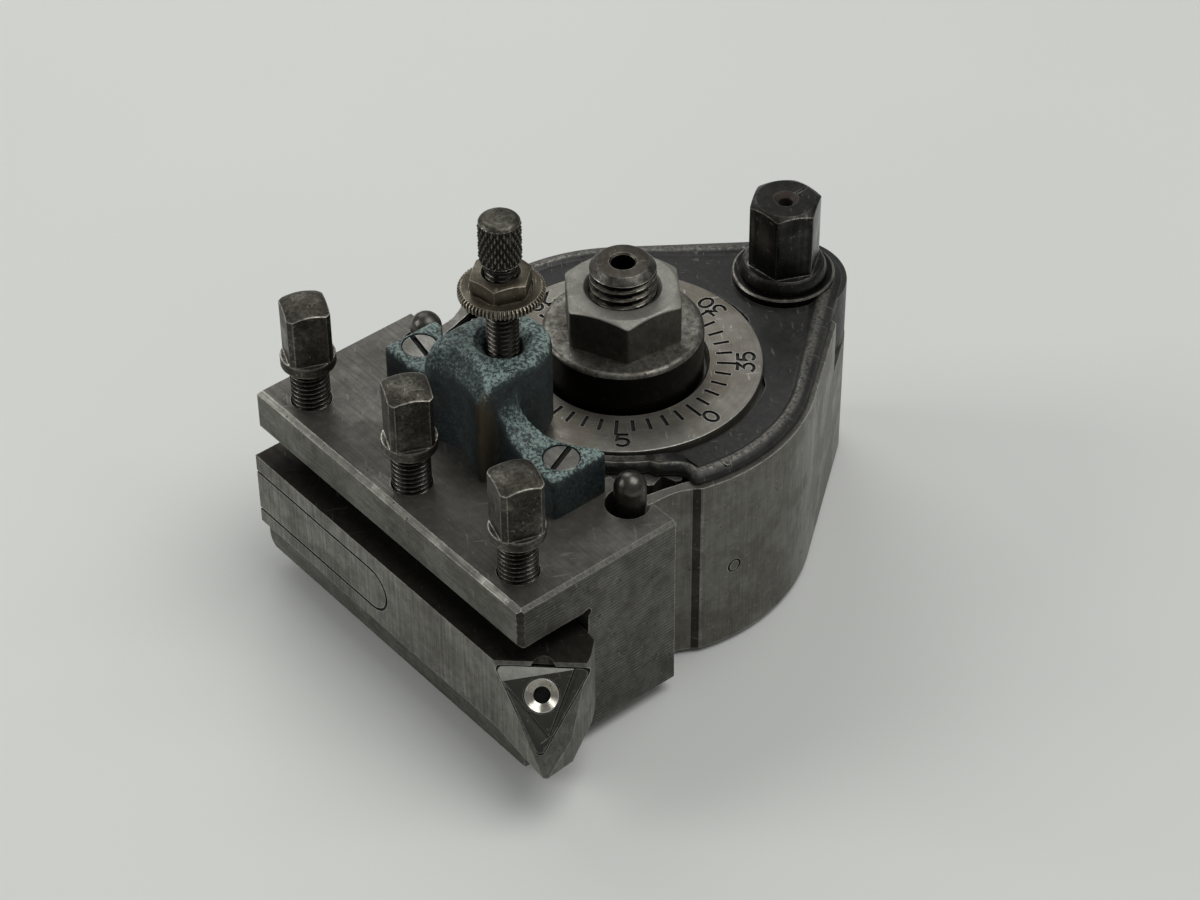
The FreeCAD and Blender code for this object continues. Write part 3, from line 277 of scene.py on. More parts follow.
def soften(item: bpy.types.Object, width: float, parts: int = 2, angle: float = 28.0) -> bpy.types.Object:
    """Break the sharp edges of an object.

    Args:
        item: The object.
        width: The bevel's width in millimetres.
        parts: Faces across the bevel.
        angle: Edges that turn by more degrees than this are broken.

    Returns:
        The same object.
    """
    bevel = item.modifiers.new("soften", "BEVEL")
    bevel.width = width
    bevel.segments = parts
    bevel.limit_method = "ANGLE"
    bevel.angle_limit = math.radians(angle)
    bevel.miter_outer = "MITER_ARC"
    bevel.use_clamp_overlap = True
    return settle(item)


@dataclass(frozen=True)
class Bar:
    """An upright bar with equal flats and a crowned end, such as a nut or a screw's head."""

    sides: int
    across: float
    corner: float
    bottom: float
    top: float
    flat: float
    slope: float
    centre: Flat = (0.0, 0.0)
    sharpness: float = 60.0
    dome: float = 0.0
    limit: float = 100.0

    def radius_at(self, angle: float) -> float:
        """The outline's radius at an angle in radians."""
        total = 0.0
        for side in range(self.sides):
            normal = math.radians(self.corner + 180.0 / self.sides) + TAU * side / self.sides
            total += max(math.cos(angle - normal), 0.0) ** self.sharpness
        return min(self.across / 2.0 / total ** (1.0 / self.sharpness), self.limit)

    def rings(self, steps: int = 96) -> list[list[Point]]:
        """The bar's rings from its foot to its crown.

        Args:
            steps: Points in each ring, a multiple of the sides.

        Returns:
            The rings.
        """
        foot, edge, rim = [], [], []
        for step in range(steps):
            angle = math.radians(self.corner) + TAU * step / steps
            radius = self.radius_at(angle)
            fall = self.top - max(radius - self.flat, 0.0) * self.slope
            way = (math.cos(angle), math.sin(angle))
            x, y = self.centre
            foot.append((x + way[0] * radius, y + way[1] * radius, self.bottom))
            edge.append((x + way[0] * radius, y + way[1] * radius, fall))
            inner = min(self.flat, radius * 0.98)
            rim.append((x + way[0] * inner, y + way[1] * inner, self.top))
        rings = [foot, edge, rim]
        for share in (0.75, 0.5, 0.25):
            rise = self.dome * (1.0 - share * share)
            rings.append(circle(self.flat * share, self.top + rise, steps, self.centre, self.corner))
        return rings


@dataclass(frozen=True)
class Thread:
    """A right-hand screw thread on an upright rod."""

    radius: float
    depth: float
    pitch: float
    bottom: float
    top: float
    centre: Flat = (0.0, 0.0)
    fade: float = 0.8

    def rings(self, steps: int = 48, rows: int = 8) -> list[list[Point]]:
        """Rings that follow the thread's ridges.

        Args:
            steps: Points in each ring.
            rows: Rings for each turn of the thread.

        Returns:
            The rings from the bottom to the top.
        """
        count = max(2, round((self.top - self.bottom) / self.pitch * rows))
        rings = []
        for row in range(count + 1):
            level = self.bottom + (self.top - self.bottom) * row / count
            ends = min(level - self.bottom, self.top - level)
            depth = self.depth * smooth(ends, 0.0, self.fade)
            ring = []
            for step in range(steps):
                part = (level / self.pitch - step / steps) % 1.0
                groove = min(max((abs(2.0 * part - 1.0) - 0.12) / 0.76, 0.0), 1.0)
                ring.append((*polar(self.radius - depth * groove, 360.0 * step / steps, self.centre), level))
            rings.append(ring)
        return rings


class Direction(Enum):
    """The way the fine lines of a finish run."""

    ALONG_X = (0.03, 1.0, 1.0)
    UPRIGHT = (1.0, 1.0, 0.03)
    ROUND = (0.0, 0.0, 0.0)
    CAST = (1.0, 1.0, 1.0)


def tone(colour: Colour) -> tuple[float, float, float, float]:
    """A colour as light, from its usual eight-bit numbers.

    Args:
        colour: Red, green and blue from 0 to 255.

    Returns:
        The linear colour with full opacity.
    """
    parts = []
    for part in colour:
        share = part / 255.0
        parts.append(share / 12.92 if share <= 0.04045 else ((share + 0.055) / 1.055) ** 2.4)
    return parts[0], parts[1], parts[2], 1.0


class Wiring:
    """A node tree being wired up."""

    def __init__(self, tree: bpy.types.NodeTree) -> None:
        """Take a tree and empty it.

        Args:
            tree: The tree of a material, a world or a group.
        """
        self.tree = tree
        tree.nodes.clear()

    def node(self, kind: str, **settings: Any) -> bpy.types.Node:
        """Add a node.

        Args:
            kind: The node's type.
            settings: Its properties.

        Returns:
            The node.
        """
        item = self.tree.nodes.new(kind)
        for key, value in settings.items():
            setattr(item, key, value)
        return item

    def feed(self, socket: bpy.types.NodeSocket, value: Any) -> None:
        """Give an input a value or link it to an output."""
        if isinstance(value, bpy.types.NodeSocket):
            self.tree.links.new(value, socket)
        else:
            socket.default_value = value

    def math(self, how: str, *values: Any, clamp: bool = False) -> bpy.types.NodeSocket:
        """A sum on up to three values.

        Args:
            how: The operation.
            values: Numbers or outputs.
            clamp: Keep the result between zero and one.

        Returns:
            The result.
        """
        item = self.node("ShaderNodeMath", operation=how, use_clamp=clamp)
        for socket, value in zip(item.inputs, values):
            self.feed(socket, value)
        return item.outputs[0]

    def vector(self, how: str, *values: Any) -> bpy.types.Node:
        """A vector sum.

        Args:
            how: The operation.
            values: Vectors or outputs.

        Returns:
            The node, because some operations put out a number.
        """
        item = self.node("ShaderNodeVectorMath", operation=how)
        for socket, value in zip(item.inputs, values):
            self.feed(socket, value)
        return item

    def parts(self, vector: Any) -> Any:
        """The three parts of a vector, as outputs."""
        item = self.node("ShaderNodeSeparateXYZ")
        self.feed(item.inputs[0], vector)
        return item.outputs

    def band(self, value: Any, low: float, high: float, bottom: float = 0.0,
             top: float = 1.0) -> bpy.types.NodeSocket:
        """A smooth rise of one value into a range.

        Args:
            value: The number looked at.
            low: Where the rise begins.
            high: Where it ends.
            bottom: The result below the rise.
            top: The result above it.

        Returns:
            The result.
        """
        item = self.node("ShaderNodeMapRange", interpolation_type="SMOOTHSTEP")
        for socket, number in zip(item.inputs, (value, low, high, bottom, top)):
            self.feed(socket, number)
        return item.outputs[0]

    def mix(self, share: Any, low: Any, high: Any) -> bpy.types.NodeSocket:
        """A colour between two colours.

        Args:
            share: How much of the second colour.
            low: The first colour.
            high: The second colour.

        Returns:
            The mixed colour.
        """
        item = self.node("ShaderNodeMix", data_type="RGBA")
        self.feed(item.inputs[0], share)
        self.feed(item.inputs[6], low)
        self.feed(item.inputs[7], high)
        return item.outputs[2]

    def noise(self, vector: Any, scale: float | Any, detail: float = 4.0,
              rough: float = 0.55) -> bpy.types.NodeSocket:
        """A cloudy value.

        Args:
            vector: Where it is read.
            scale: Clouds for each metre.
            detail: Layers of smaller clouds.
            rough: How strong the small ones are.

        Returns:
            The value, about one half on average.
        """
        item = self.node("ShaderNodeTexNoise")
        self.feed(item.inputs["Vector"], vector)
        self.feed(item.inputs["Scale"], scale)
        item.inputs["Detail"].default_value = detail
        item.inputs["Roughness"].default_value = rough
        return item.outputs[0]


class Effects:
    """The effects that several finishes share, each one a node group built once."""

    def __init__(self) -> None:
        """Build every group."""
        self.grain = self._grain()
        self.rings = self._rings()
        self.mottle = self._mottle()
        self.pits = self._pits()
        self.wear = self._wear()
        self.scratches = self._scratches()
        self.milling = self._milling()

    @staticmethod
    def _group(name: str, inputs: Iterable[tuple[str, str, Any]], outputs: Iterable[str]
               ) -> tuple[Wiring, bpy.types.Node, bpy.types.Node]:
        """Start a group with its named sockets.

        Args:
            name: The group's name.
            inputs: Name, kind and usual value of each input.
            outputs: Name of each output, all plain numbers.

        Returns:
            The wiring, the input node and the output node.
        """
        tree = bpy.data.node_groups.new(name, "ShaderNodeTree")
        for label, kind, value in inputs:
            socket = tree.interface.new_socket(name=label, in_out="INPUT", socket_type=kind)
            if value is not None:
                socket.default_value = value
        for label in outputs:
            tree.interface.new_socket(name=label, in_out="OUTPUT", socket_type="NodeSocketFloat")
        wiring = Wiring(tree)
        return wiring, wiring.node("NodeGroupInput"), wiring.node("NodeGroupOutput")

    def _grain(self) -> bpy.types.NodeTree:
        """Fine lines that run one way, as grinding or milling leaves them; on the hexagon, broad and strong,
        they are painted reflection streaks.
        """
        wiring, start, end = self._group("Grain", (("Place", "NodeSocketVector", None),
                                                   ("Stretch", "NodeSocketVector", (1.0, 1.0, 1.0)),
                                                   ("Scale", "NodeSocketFloat", 2500.0)), ("Lines",))
        place = wiring.vector("MULTIPLY", start.outputs["Place"], start.outputs["Stretch"]).outputs[0]
        fine = wiring.noise(place, start.outputs["Scale"], 3.0, 0.65)
        wiring.feed(end.inputs["Lines"], wiring.band(fine, 0.25, 0.75))
        return wiring.tree

    def _rings(self) -> bpy.types.NodeTree:
        """Fine circles about an upright axis, as turning leaves them."""
        wiring, start, end = self._group("Rings", (("Place", "NodeSocketVector", None),
                                                   ("Centre", "NodeSocketVector", (0.0, 0.0, 0.0)),
                                                   ("Scale", "NodeSocketFloat", 3000.0)), ("Lines",))
        away = wiring.vector("SUBTRACT", start.outputs["Place"], start.outputs["Centre"]).outputs[0]
        flat = wiring.vector("MULTIPLY", away, (1.0, 1.0, 0.0)).outputs[0]
        length = wiring.vector("LENGTH", flat).outputs["Value"]
        facing = wiring.vector("NORMALIZE", flat).outputs[0]
        around = wiring.vector("SCALE", facing)
        around.inputs["Scale"].default_value = 0.0012
        out = wiring.node("ShaderNodeCombineXYZ")
        wiring.feed(out.inputs[0], length)
        wiring.feed(out.inputs[2], wiring.parts(away)[2])
        place = wiring.vector("ADD", around.outputs[0], out.outputs[0]).outputs[0]
        fine = wiring.noise(place, start.outputs["Scale"], 3.0, 0.65)
        wiring.feed(end.inputs["Lines"], wiring.band(fine, 0.25, 0.75))
        return wiring.tree

    def _mottle(self) -> bpy.types.NodeTree:
        """Broad uneven patches and a finer cloud."""
        inputs = (("Place", "NodeSocketVector", None), ("Scale", "NodeSocketFloat", 120.0))
        wiring, start, end = self._group("Mottle", inputs, ("Patches", "Clouds"))
        broad = wiring.noise(start.outputs["Place"], start.outputs["Scale"], 6.0, 0.6)
        wiring.feed(end.inputs["Patches"], wiring.band(broad, 0.38, 0.62))
        finer = wiring.math("MULTIPLY", start.outputs["Scale"], 6.0)
        cloud = wiring.noise(start.outputs["Place"], finer, 5.0, 0.65)
        wiring.feed(end.inputs["Clouds"], wiring.band(cloud, 0.3, 0.7))
        return wiring.tree

    def _pits(self) -> bpy.types.NodeTree:
        """Small scattered spots."""
        wiring, start, end = self._group("Pits", (("Place", "NodeSocketVector", None),
                                                  ("Scale", "NodeSocketFloat", 900.0),
                                                  ("Amount", "NodeSocketFloat", 0.3)), ("Spots",))
        cells = wiring.node("ShaderNodeTexVoronoi")
        wiring.feed(cells.inputs["Vector"], start.outputs["Place"])
        wiring.feed(cells.inputs["Scale"], start.outputs["Scale"])
        near = wiring.band(cells.outputs["Distance"], 0.12, 0.3, 1.0, 0.0)
        some = wiring.math("DIVIDE", start.outputs["Scale"], 5.0)
        where = wiring.noise(start.outputs["Place"], some, 3.0, 0.6)
        limit = wiring.math("SUBTRACT", 0.72, wiring.math("MULTIPLY", start.outputs["Amount"], 0.4))
        gate = wiring.math("MULTIPLY", wiring.math("SUBTRACT", where, limit), 12.0, clamp=True)
        wiring.feed(end.inputs["Spots"], wiring.math("MULTIPLY", near, gate))
        return wiring.tree

    def _wear(self) -> bpy.types.NodeTree:
        """Edges rubbed bright, broken up so that no edge is evenly worn."""
        wiring, start, end = self._group("Edge wear", (("Place", "NodeSocketVector", None),
                                                       ("Radius", "NodeSocketFloat", 0.0004)), ("Edges",))
        wide = wiring.node("ShaderNodeBevel", samples=6)
        wiring.feed(wide.inputs["Radius"], start.outputs["Radius"])
        shape = wiring.node("ShaderNodeNewGeometry")
        match = wiring.vector("DOT_PRODUCT", wide.outputs[0], shape.outputs["Normal"]).outputs["Value"]
        edge = wiring.band(wiring.math("SUBTRACT", 1.0, match), 0.01, 0.12)
        broken = wiring.band(wiring.noise(start.outputs["Place"], 900.0, 4.0, 0.7), 0.32, 0.6, 0.25, 1.0)
        wiring.feed(end.inputs["Edges"], wiring.math("MULTIPLY", edge, broken))
        return wiring.tree

    def _milling(self) -> bpy.types.NodeTree:
        """Level cutter lines at an even distance, a little uneven in strength."""
        wiring, start, end = self._group("Milling", (("Place", "NodeSocketVector", None),
                                                     ("Pitch", "NodeSocketFloat", 0.0007)), ("Lines",))
        height = wiring.parts(start.outputs["Place"])[2]
        turns = wiring.math("DIVIDE", wiring.math("MULTIPLY", height, TAU), start.outputs["Pitch"])
        sway = wiring.math("MULTIPLY", wiring.noise(start.outputs["Place"], 110.0, 3.0, 0.6), 4.0)
        wave = wiring.math("SINE", wiring.math("ADD", turns, sway))
        fade = wiring.band(wiring.noise(start.outputs["Place"], 260.0, 4.0, 0.65), 0.32, 0.62, 0.15, 0.5)
        lines = wiring.math("ADD", 0.5, wiring.math("MULTIPLY", wave, fade))
        wiring.feed(end.inputs["Lines"], lines)
        return wiring.tree

    def _scratches(self) -> bpy.types.NodeTree:
        """A few thin marks that cross each other."""
        wiring, start, end = self._group("Scratches", (("Place", "NodeSocketVector", None),
                                                       ("Scale", "NodeSocketFloat", 300.0)), ("Marks",))
        marks = []
        for turn, stretch in ((0.6, (0.06, 1.0, 1.0)), (-1.0, (1.0, 0.05, 1.0)), (2.2, (0.08, 1.0, 0.3))):
            spin = wiring.node("ShaderNodeVectorRotate", rotation_type="AXIS_ANGLE")
            wiring.feed(spin.inputs["Vector"], start.outputs["Place"])
            spin.inputs["Axis"].default_value = (0.3, 0.2, 1.0)
            spin.inputs["Angle"].default_value = turn
            long = wiring.vector("MULTIPLY", spin.outputs[0], stretch).outputs[0]
            line = wiring.noise(long, wiring.math("MULTIPLY", start.outputs["Scale"], 4.0), 2.0, 0.5)
            marks.append(wiring.band(line, 0.68, 0.74))
        both = wiring.math("MAXIMUM", marks[0], marks[1])
        wiring.feed(end.inputs["Marks"], wiring.math("MAXIMUM", both, marks[2]))
        return wiring.tree


@dataclass(frozen=True)
class Finish:
    """What one material of the post looks like; lengths are in millimetres."""

    name: str
    base: Colour
    patch: Colour
    stain: Colour
    edge: Colour
    metallic: float = 0.9
    rough: float = 0.42
    rough_patch: float = 0.55
    direction: Direction = Direction.ALONG_X
    line_scale: float = 2600.0
    line_colour: float = 0.18
    line_depth: float = 0.25
    patch_scale: float = 90.0
    clouds: float = 0.3
    stains: float = 0.5
    spots: float = 0.3
    spot_scale: float = 1100.0
    worn: float = 0.8
    worn_width: float = 0.35
    marks: float = 0.15
    depth: float = 0.02
    centre: Flat = (0.0, 0.0)
    pitch: float = 0.0
    rubbed: Flat = (0.0, 0.0)

    def make(self, effects: Effects) -> bpy.types.Material:
        """Build the material.

        Args:
            effects: The shared effects.

        Returns:
            The material.
        """
        material = bpy.data.materials.new(self.name)
        material.use_nodes = True
        wiring = Wiring(material.node_tree)
        place = wiring.node("ShaderNodeTexCoord").outputs["Object"]
        lines = self._lines(wiring, effects, place)
        mottle = self._use(wiring, effects.mottle, place, Scale=self.patch_scale)
        spots = self._use(wiring, effects.pits, place, Scale=self.spot_scale, Amount=self.spots)
        edges = self._use(wiring, effects.wear, place, Radius=self.worn_width * MM)
        marks = self._use(wiring, effects.scratches, place)
        colour = wiring.mix(mottle.outputs["Patches"], tone(self.base), tone(self.patch))
        dirt = wiring.math("MULTIPLY", wiring.math("SUBTRACT", 1.0, mottle.outputs["Clouds"]), self.clouds)
        colour = wiring.mix(dirt, colour, tone(self.stain))
        # Darkening along the fine lines; on the hexagon's finish these bands are painted reflections.
        groove = wiring.math("MULTIPLY", wiring.math("SUBTRACT", 1.0, lines), self.line_colour)
        colour = wiring.mix(groove, colour, tone(self.stain))
        spotted = wiring.math("MULTIPLY", spots.outputs["Spots"], self.stains)
        colour = wiring.mix(spotted, colour, tone(self.stain))
        # Edges rubbed bare and lighter; on the screws these edges are partly painted glints.
        bare = wiring.math("MAXIMUM", wiring.math("MULTIPLY", edges.outputs["Edges"], self.worn),
                           wiring.math("MULTIPLY", marks.outputs["Marks"], self.marks))
        # A band of heights rubbed bare and lighter; on the cover it runs along the rim's crest, partly wear
        # and partly a painted highlight.
        if self.rubbed[1]:
            high = wiring.band(wiring.parts(place)[2], self.rubbed[0] * MM, self.rubbed[1] * MM)
            grit = wiring.band(wiring.noise(place, 1400.0, 4.0, 0.75), 0.38, 0.62, 0.1, 0.8)
            bare = wiring.math("MAXIMUM", bare, wiring.math("MULTIPLY", high, grit))
        colour = wiring.mix(bare, colour, tone(self.edge))
        shader = wiring.node("ShaderNodeBsdfPrincipled")
        wiring.feed(shader.inputs["Base Color"], colour)
        self._shine(wiring, shader, mottle.outputs["Patches"], lines, bare, spots.outputs["Spots"])
        relief = wiring.math("MULTIPLY", lines, self.line_depth)
        relief = wiring.math("SUBTRACT", relief, wiring.math("MULTIPLY", spots.outputs["Spots"], 0.8))
        relief = wiring.math("ADD", relief, wiring.math("MULTIPLY", mottle.outputs["Clouds"], 0.35))
        relief = wiring.math("SUBTRACT", relief, wiring.math("MULTIPLY", marks.outputs["Marks"], self.marks))
        bump = wiring.node("ShaderNodeBump")
        bump.inputs["Strength"].default_value = 1.0
        bump.inputs["Distance"].default_value = self.depth * MM
        wiring.feed(bump.inputs["Height"], relief)
        wiring.feed(shader.inputs["Normal"], bump.outputs[0])
        out = wiring.node("ShaderNodeOutputMaterial")
        wiring.feed(out.inputs["Surface"], shader.outputs[0])
        return material

    def _lines(self, wiring: Wiring, effects: Effects, place: bpy.types.NodeSocket) -> bpy.types.NodeSocket:
        """The fine lines of this finish.

        Args:
            wiring: The material's tree.
            effects: The shared effects.
            place: Where the lines are read.

        Returns:
            The lines as a number from zero to one.
        """
        if self.pitch:
            item = self._use(wiring, effects.milling, place, Pitch=self.pitch * MM)
        elif self.direction is Direction.ROUND:
            middle = (self.centre[0] * MM, self.centre[1] * MM, 0.0)
            item = self._use(wiring, effects.rings, place, Centre=middle, Scale=self.line_scale)
        else:
            item = self._use(wiring, effects.grain, place, Stretch=self.direction.value,
                             Scale=self.line_scale)
        return item.outputs["Lines"]

    def _shine(self, wiring: Wiring, shader: bpy.types.Node, patches: bpy.types.NodeSocket,
               lines: bpy.types.NodeSocket, bare: bpy.types.NodeSocket, spots: bpy.types.NodeSocket) -> None:
        """Set how the surface shines.

        Args:
            wiring: The material's tree.
            shader: The surface shader.
            patches: The broad patches.
            lines: The fine lines.
            bare: Where the metal is rubbed bare.
            spots: The small spots.
        """
        rough = wiring.band(patches, 0.0, 1.0, self.rough, self.rough_patch)
        rough = wiring.math("ADD", rough, wiring.math("MULTIPLY", wiring.math("SUBTRACT", 0.5, lines), 0.12))
        rough = wiring.math("ADD", rough, wiring.math("MULTIPLY", spots, 0.25))
        rough = wiring.math("SUBTRACT", rough, wiring.math("MULTIPLY", bare, 0.12), clamp=True)
        wiring.feed(shader.inputs["Roughness"], rough)
        if self.metallic < 0.5:
            wiring.feed(shader.inputs["Metallic"], wiring.math("MAXIMUM", bare, self.metallic))
        else:
            shader.inputs["Metallic"].default_value = self.metallic

    @staticmethod
    def _use(wiring: Wiring, tree: bpy.types.NodeTree, place: bpy.types.NodeSocket, **values: Any
             ) -> bpy.types.Node:
        """Place a shared effect with its own values.

        Args:
            wiring: The material's tree.
            tree: The effect.
            place: Where it is read.
            values: Its inputs.

        Returns:
            The group node.
        """
        item = wiring.node("ShaderNodeGroup", node_tree=tree)
        wiring.feed(item.inputs["Place"], place)
        for label, value in values.items():
            item.inputs[label].default_value = value
        return item


FINISHES: tuple[Finish, ...] = (
    Finish("milled_steel", (112, 110, 104), (100, 98, 92), (44, 42, 38), (190, 188, 180), rough=0.46,
           rough_patch=0.56, direction=Direction.ALONG_X, line_scale=2200.0, line_colour=0.2,
           line_depth=0.35, worn=0.55),
    Finish("ground_front", (124, 123, 116), (110, 109, 102), (40, 38, 34), (198, 196, 188), rough=0.42,
           direction=Direction.ALONG_X, line_scale=2600.0, line_colour=0.3, line_depth=0.45, spots=0.45,
           clouds=0.4),
    Finish("ground_end", (124, 123, 116), (108, 107, 101), (38, 36, 33), (198, 196, 188), rough=0.4,
           line_colour=0.5, line_depth=0.9, spots=0.55, clouds=0.5, patch_scale=60.0, pitch=0.72),
    Finish("dial_satin", (152, 149, 141), (132, 126, 115), (74, 67, 57), (214, 212, 204), rough=0.4,
           rough_patch=0.5, direction=Direction.ROUND, line_scale=2600.0, patch_scale=70.0, clouds=0.3,
           spots=0.2, marks=0.35),
    # Near-black finish: real filling in the dial's marks and numbers, the index line and the tool's outline;
    # in the foot screws' slots, the eccentric's centre hole and the insert pin's socket it is painted shade.
    Finish("ink", (22, 21, 19), (30, 28, 26), (10, 10, 9), (60, 58, 54), metallic=0.2, rough=0.7,
           spots=0.1, worn=0.1, direction=Direction.CAST, line_scale=1500.0),
    Finish("grimy_steel", (152, 149, 140), (118, 114, 105), (24, 22, 19), (214, 210, 198), rough=0.36,
           rough_patch=0.5, direction=Direction.ROUND, clouds=0.65, spots=0.6, patch_scale=180.0),
    # Near-black oily finish; in the stud's centre hole and thread roots it is painted shade.
    Finish("oily_black_and_shade", (30, 29, 27), (22, 21, 20), (10, 10, 9), (120, 116, 106), rough=0.3,
           rough_patch=0.42, direction=Direction.ROUND, clouds=0.4, worn=0.6),
    Finish("nut_steel", (162, 160, 152), (144, 142, 134), (60, 56, 50), (220, 217, 208), rough=0.5,
           rough_patch=0.58, direction=Direction.CAST, line_scale=2500.0, line_colour=0.1, spots=0.45,
           clouds=0.25),
    Finish("nut_flank", (104, 101, 94), (80, 77, 71), (26, 24, 21), (214, 210, 200), rough=0.34,
           rough_patch=0.46, direction=Direction.UPRIGHT, line_scale=2200.0, spots=0.4, clouds=0.4,
           worn=0.9, worn_width=0.4),
    Finish("stud_steel", (92, 88, 80), (72, 67, 59), (24, 21, 18), (200, 195, 183), rough=0.34,
           rough_patch=0.46, direction=Direction.ROUND, clouds=0.5, spots=0.4),
    Finish("strap_satin", (126, 125, 118), (112, 110, 103), (42, 39, 34), (206, 204, 196), rough=0.38,
           rough_patch=0.48, direction=Direction.UPRIGHT, line_scale=2400.0, line_colour=0.22, spots=0.35,
           clouds=0.3),
    Finish("pin_grey", (98, 96, 90), (80, 78, 72), (34, 32, 28), (190, 186, 176), rough=0.3,
           rough_patch=0.42, direction=Direction.CAST, line_scale=1500.0, spots=0.4, clouds=0.4),
    # The cover's rubbed band along the rim's crest is partly wear and partly a painted highlight.
    Finish("cover_black", (37, 38, 36), (58, 58, 54), (20, 20, 19), (134, 131, 123), metallic=0.35,
           rough=0.42, rough_patch=0.55, direction=Direction.CAST, line_scale=1200.0, line_colour=0.5,
           patch_scale=75.0, clouds=0.45, spots=0.35, worn=0.6, worn_width=0.4, marks=0.3,
           rubbed=(41.6, 42.15)),
    # Light finish for rims and bevels: partly metal polished by wear and partly a painted highlight along the
    # rounded edges.
    Finish("rim_wear_and_highlight", (128, 125, 117), (92, 89, 82), (26, 24, 22), (214, 211, 202), rough=0.36,
           rough_patch=0.5, direction=Direction.CAST, line_scale=2600.0, clouds=0.75, spots=0.85,
           spot_scale=1500.0),
    Finish("shaft_black", (62, 61, 57), (46, 45, 42), (18, 17, 15), (178, 175, 166), rough=0.32,
           rough_patch=0.44, direction=Direction.CAST, line_scale=1800.0, clouds=0.45, spots=0.3,
           worn=0.75, worn_width=0.45),
    # Upright light and dark bands on the hexagon's flanks: painted reflections, the streaks that slightly
    # curved flats would reflect.
    Finish("hexagon_reflection_streaks", (84, 84, 80), (44, 44, 42), (4, 4, 4), (190, 188, 180), rough=0.2,
           rough_patch=0.3, direction=Direction.UPRIGHT, line_scale=420.0, line_colour=0.97,
           line_depth=0.3, clouds=0.3, spots=0.3, worn=0.8, worn_width=0.5),
    Finish("rust", (62, 45, 30), (40, 29, 20), (16, 12, 9), (100, 78, 56), metallic=0.1, rough=0.8,
           direction=Direction.CAST, line_scale=1500.0, worn=0.0),
    Finish("bush_bronze", (120, 98, 62), (96, 78, 50), (40, 32, 22), (180, 158, 112), rough=0.4,
           direction=Direction.ROUND),
    # The screws' heavy edge wear is partly real wear and partly painted glints along the edges of the heads
    # and flanks.
    Finish("screw_brown", (100, 97, 88), (76, 72, 64), (28, 25, 21), (220, 216, 204), rough=0.4,
           rough_patch=0.54, direction=Direction.CAST, line_scale=2200.0, patch_scale=260.0, clouds=0.65,
           spots=0.7, worn=0.95, worn_width=0.5),
    Finish("screw_side", (98, 95, 87), (66, 63, 56), (22, 20, 17), (214, 208, 194), rough=0.38,
           rough_patch=0.52, direction=Direction.ALONG_X, line_scale=1500.0, line_colour=0.4,
           line_depth=0.5, patch_scale=200.0, clouds=0.6, spots=0.7, worn=0.85, worn_width=0.5),
    Finish("thread_black", (46, 43, 39), (34, 31, 28), (12, 11, 10), (176, 172, 160), rough=0.34,
           rough_patch=0.46, direction=Direction.CAST, line_scale=2200.0, clouds=0.4, spots=0.3,
           worn=0.75, worn_width=0.22),
    Finish("knurl_dark", (96, 94, 88), (80, 78, 72), (16, 15, 14), (190, 187, 178), rough=0.36,
           rough_patch=0.46, direction=Direction.CAST, line_scale=2200.0, clouds=0.35, worn=0.8,
           worn_width=0.22),
    Finish("nut_warm", (112, 106, 93), (94, 87, 74), (34, 29, 22), (226, 218, 198), rough=0.38,
           rough_patch=0.5, direction=Direction.ROUND, centre=(0.0, -27.2), line_scale=3000.0, clouds=0.5,
           spots=0.4, worn=0.7, worn_width=0.3),
    Finish("slotted_grey", (146, 144, 138), (124, 122, 116), (50, 47, 42), (208, 206, 198), rough=0.4,
           direction=Direction.ALONG_X, line_scale=2600.0, spots=0.3, clouds=0.3, worn=0.3),
    Finish("shank_side", (150, 149, 142), (128, 127, 120), (54, 51, 46), (206, 204, 196), rough=0.4,
           rough_patch=0.52, direction=Direction.UPRIGHT, line_scale=1700.0, line_colour=0.5,
           line_depth=0.6, spots=0.5, clouds=0.4),
    Finish("shank_dark", (68, 66, 60), (54, 52, 47), (22, 20, 17), (150, 146, 136), rough=0.42,
           rough_patch=0.55, direction=Direction.ALONG_X, line_scale=2000.0, spots=0.4, clouds=0.45,
           worn=0.7),
    Finish("carbide_grey", (84, 83, 78), (74, 73, 69), (38, 36, 33), (214, 212, 204), rough=0.36,
           rough_patch=0.42, direction=Direction.CAST, line_scale=3500.0, line_colour=0.08,
           line_depth=0.1, spots=0.15, clouds=0.15, worn=0.85, worn_width=0.25),
    # Near-white finish for one ramp of the insert: a painted highlight where the tilted ramp would catch the
    # light from above.
    Finish("insert_ramp_highlight", (206, 205, 196), (184, 182, 172), (110, 106, 96), (236, 234, 228), rough=0.3,
           rough_patch=0.4, direction=Direction.CAST, line_scale=3500.0, line_colour=0.1, spots=0.4,
           clouds=0.3, worn=0.3),
    Finish("bright_pin", (196, 192, 182), (160, 154, 142), (60, 54, 46), (236, 234, 228), rough=0.22,
           rough_patch=0.36, direction=Direction.CAST, line_scale=2200.0, clouds=0.3, spots=0.4),
)


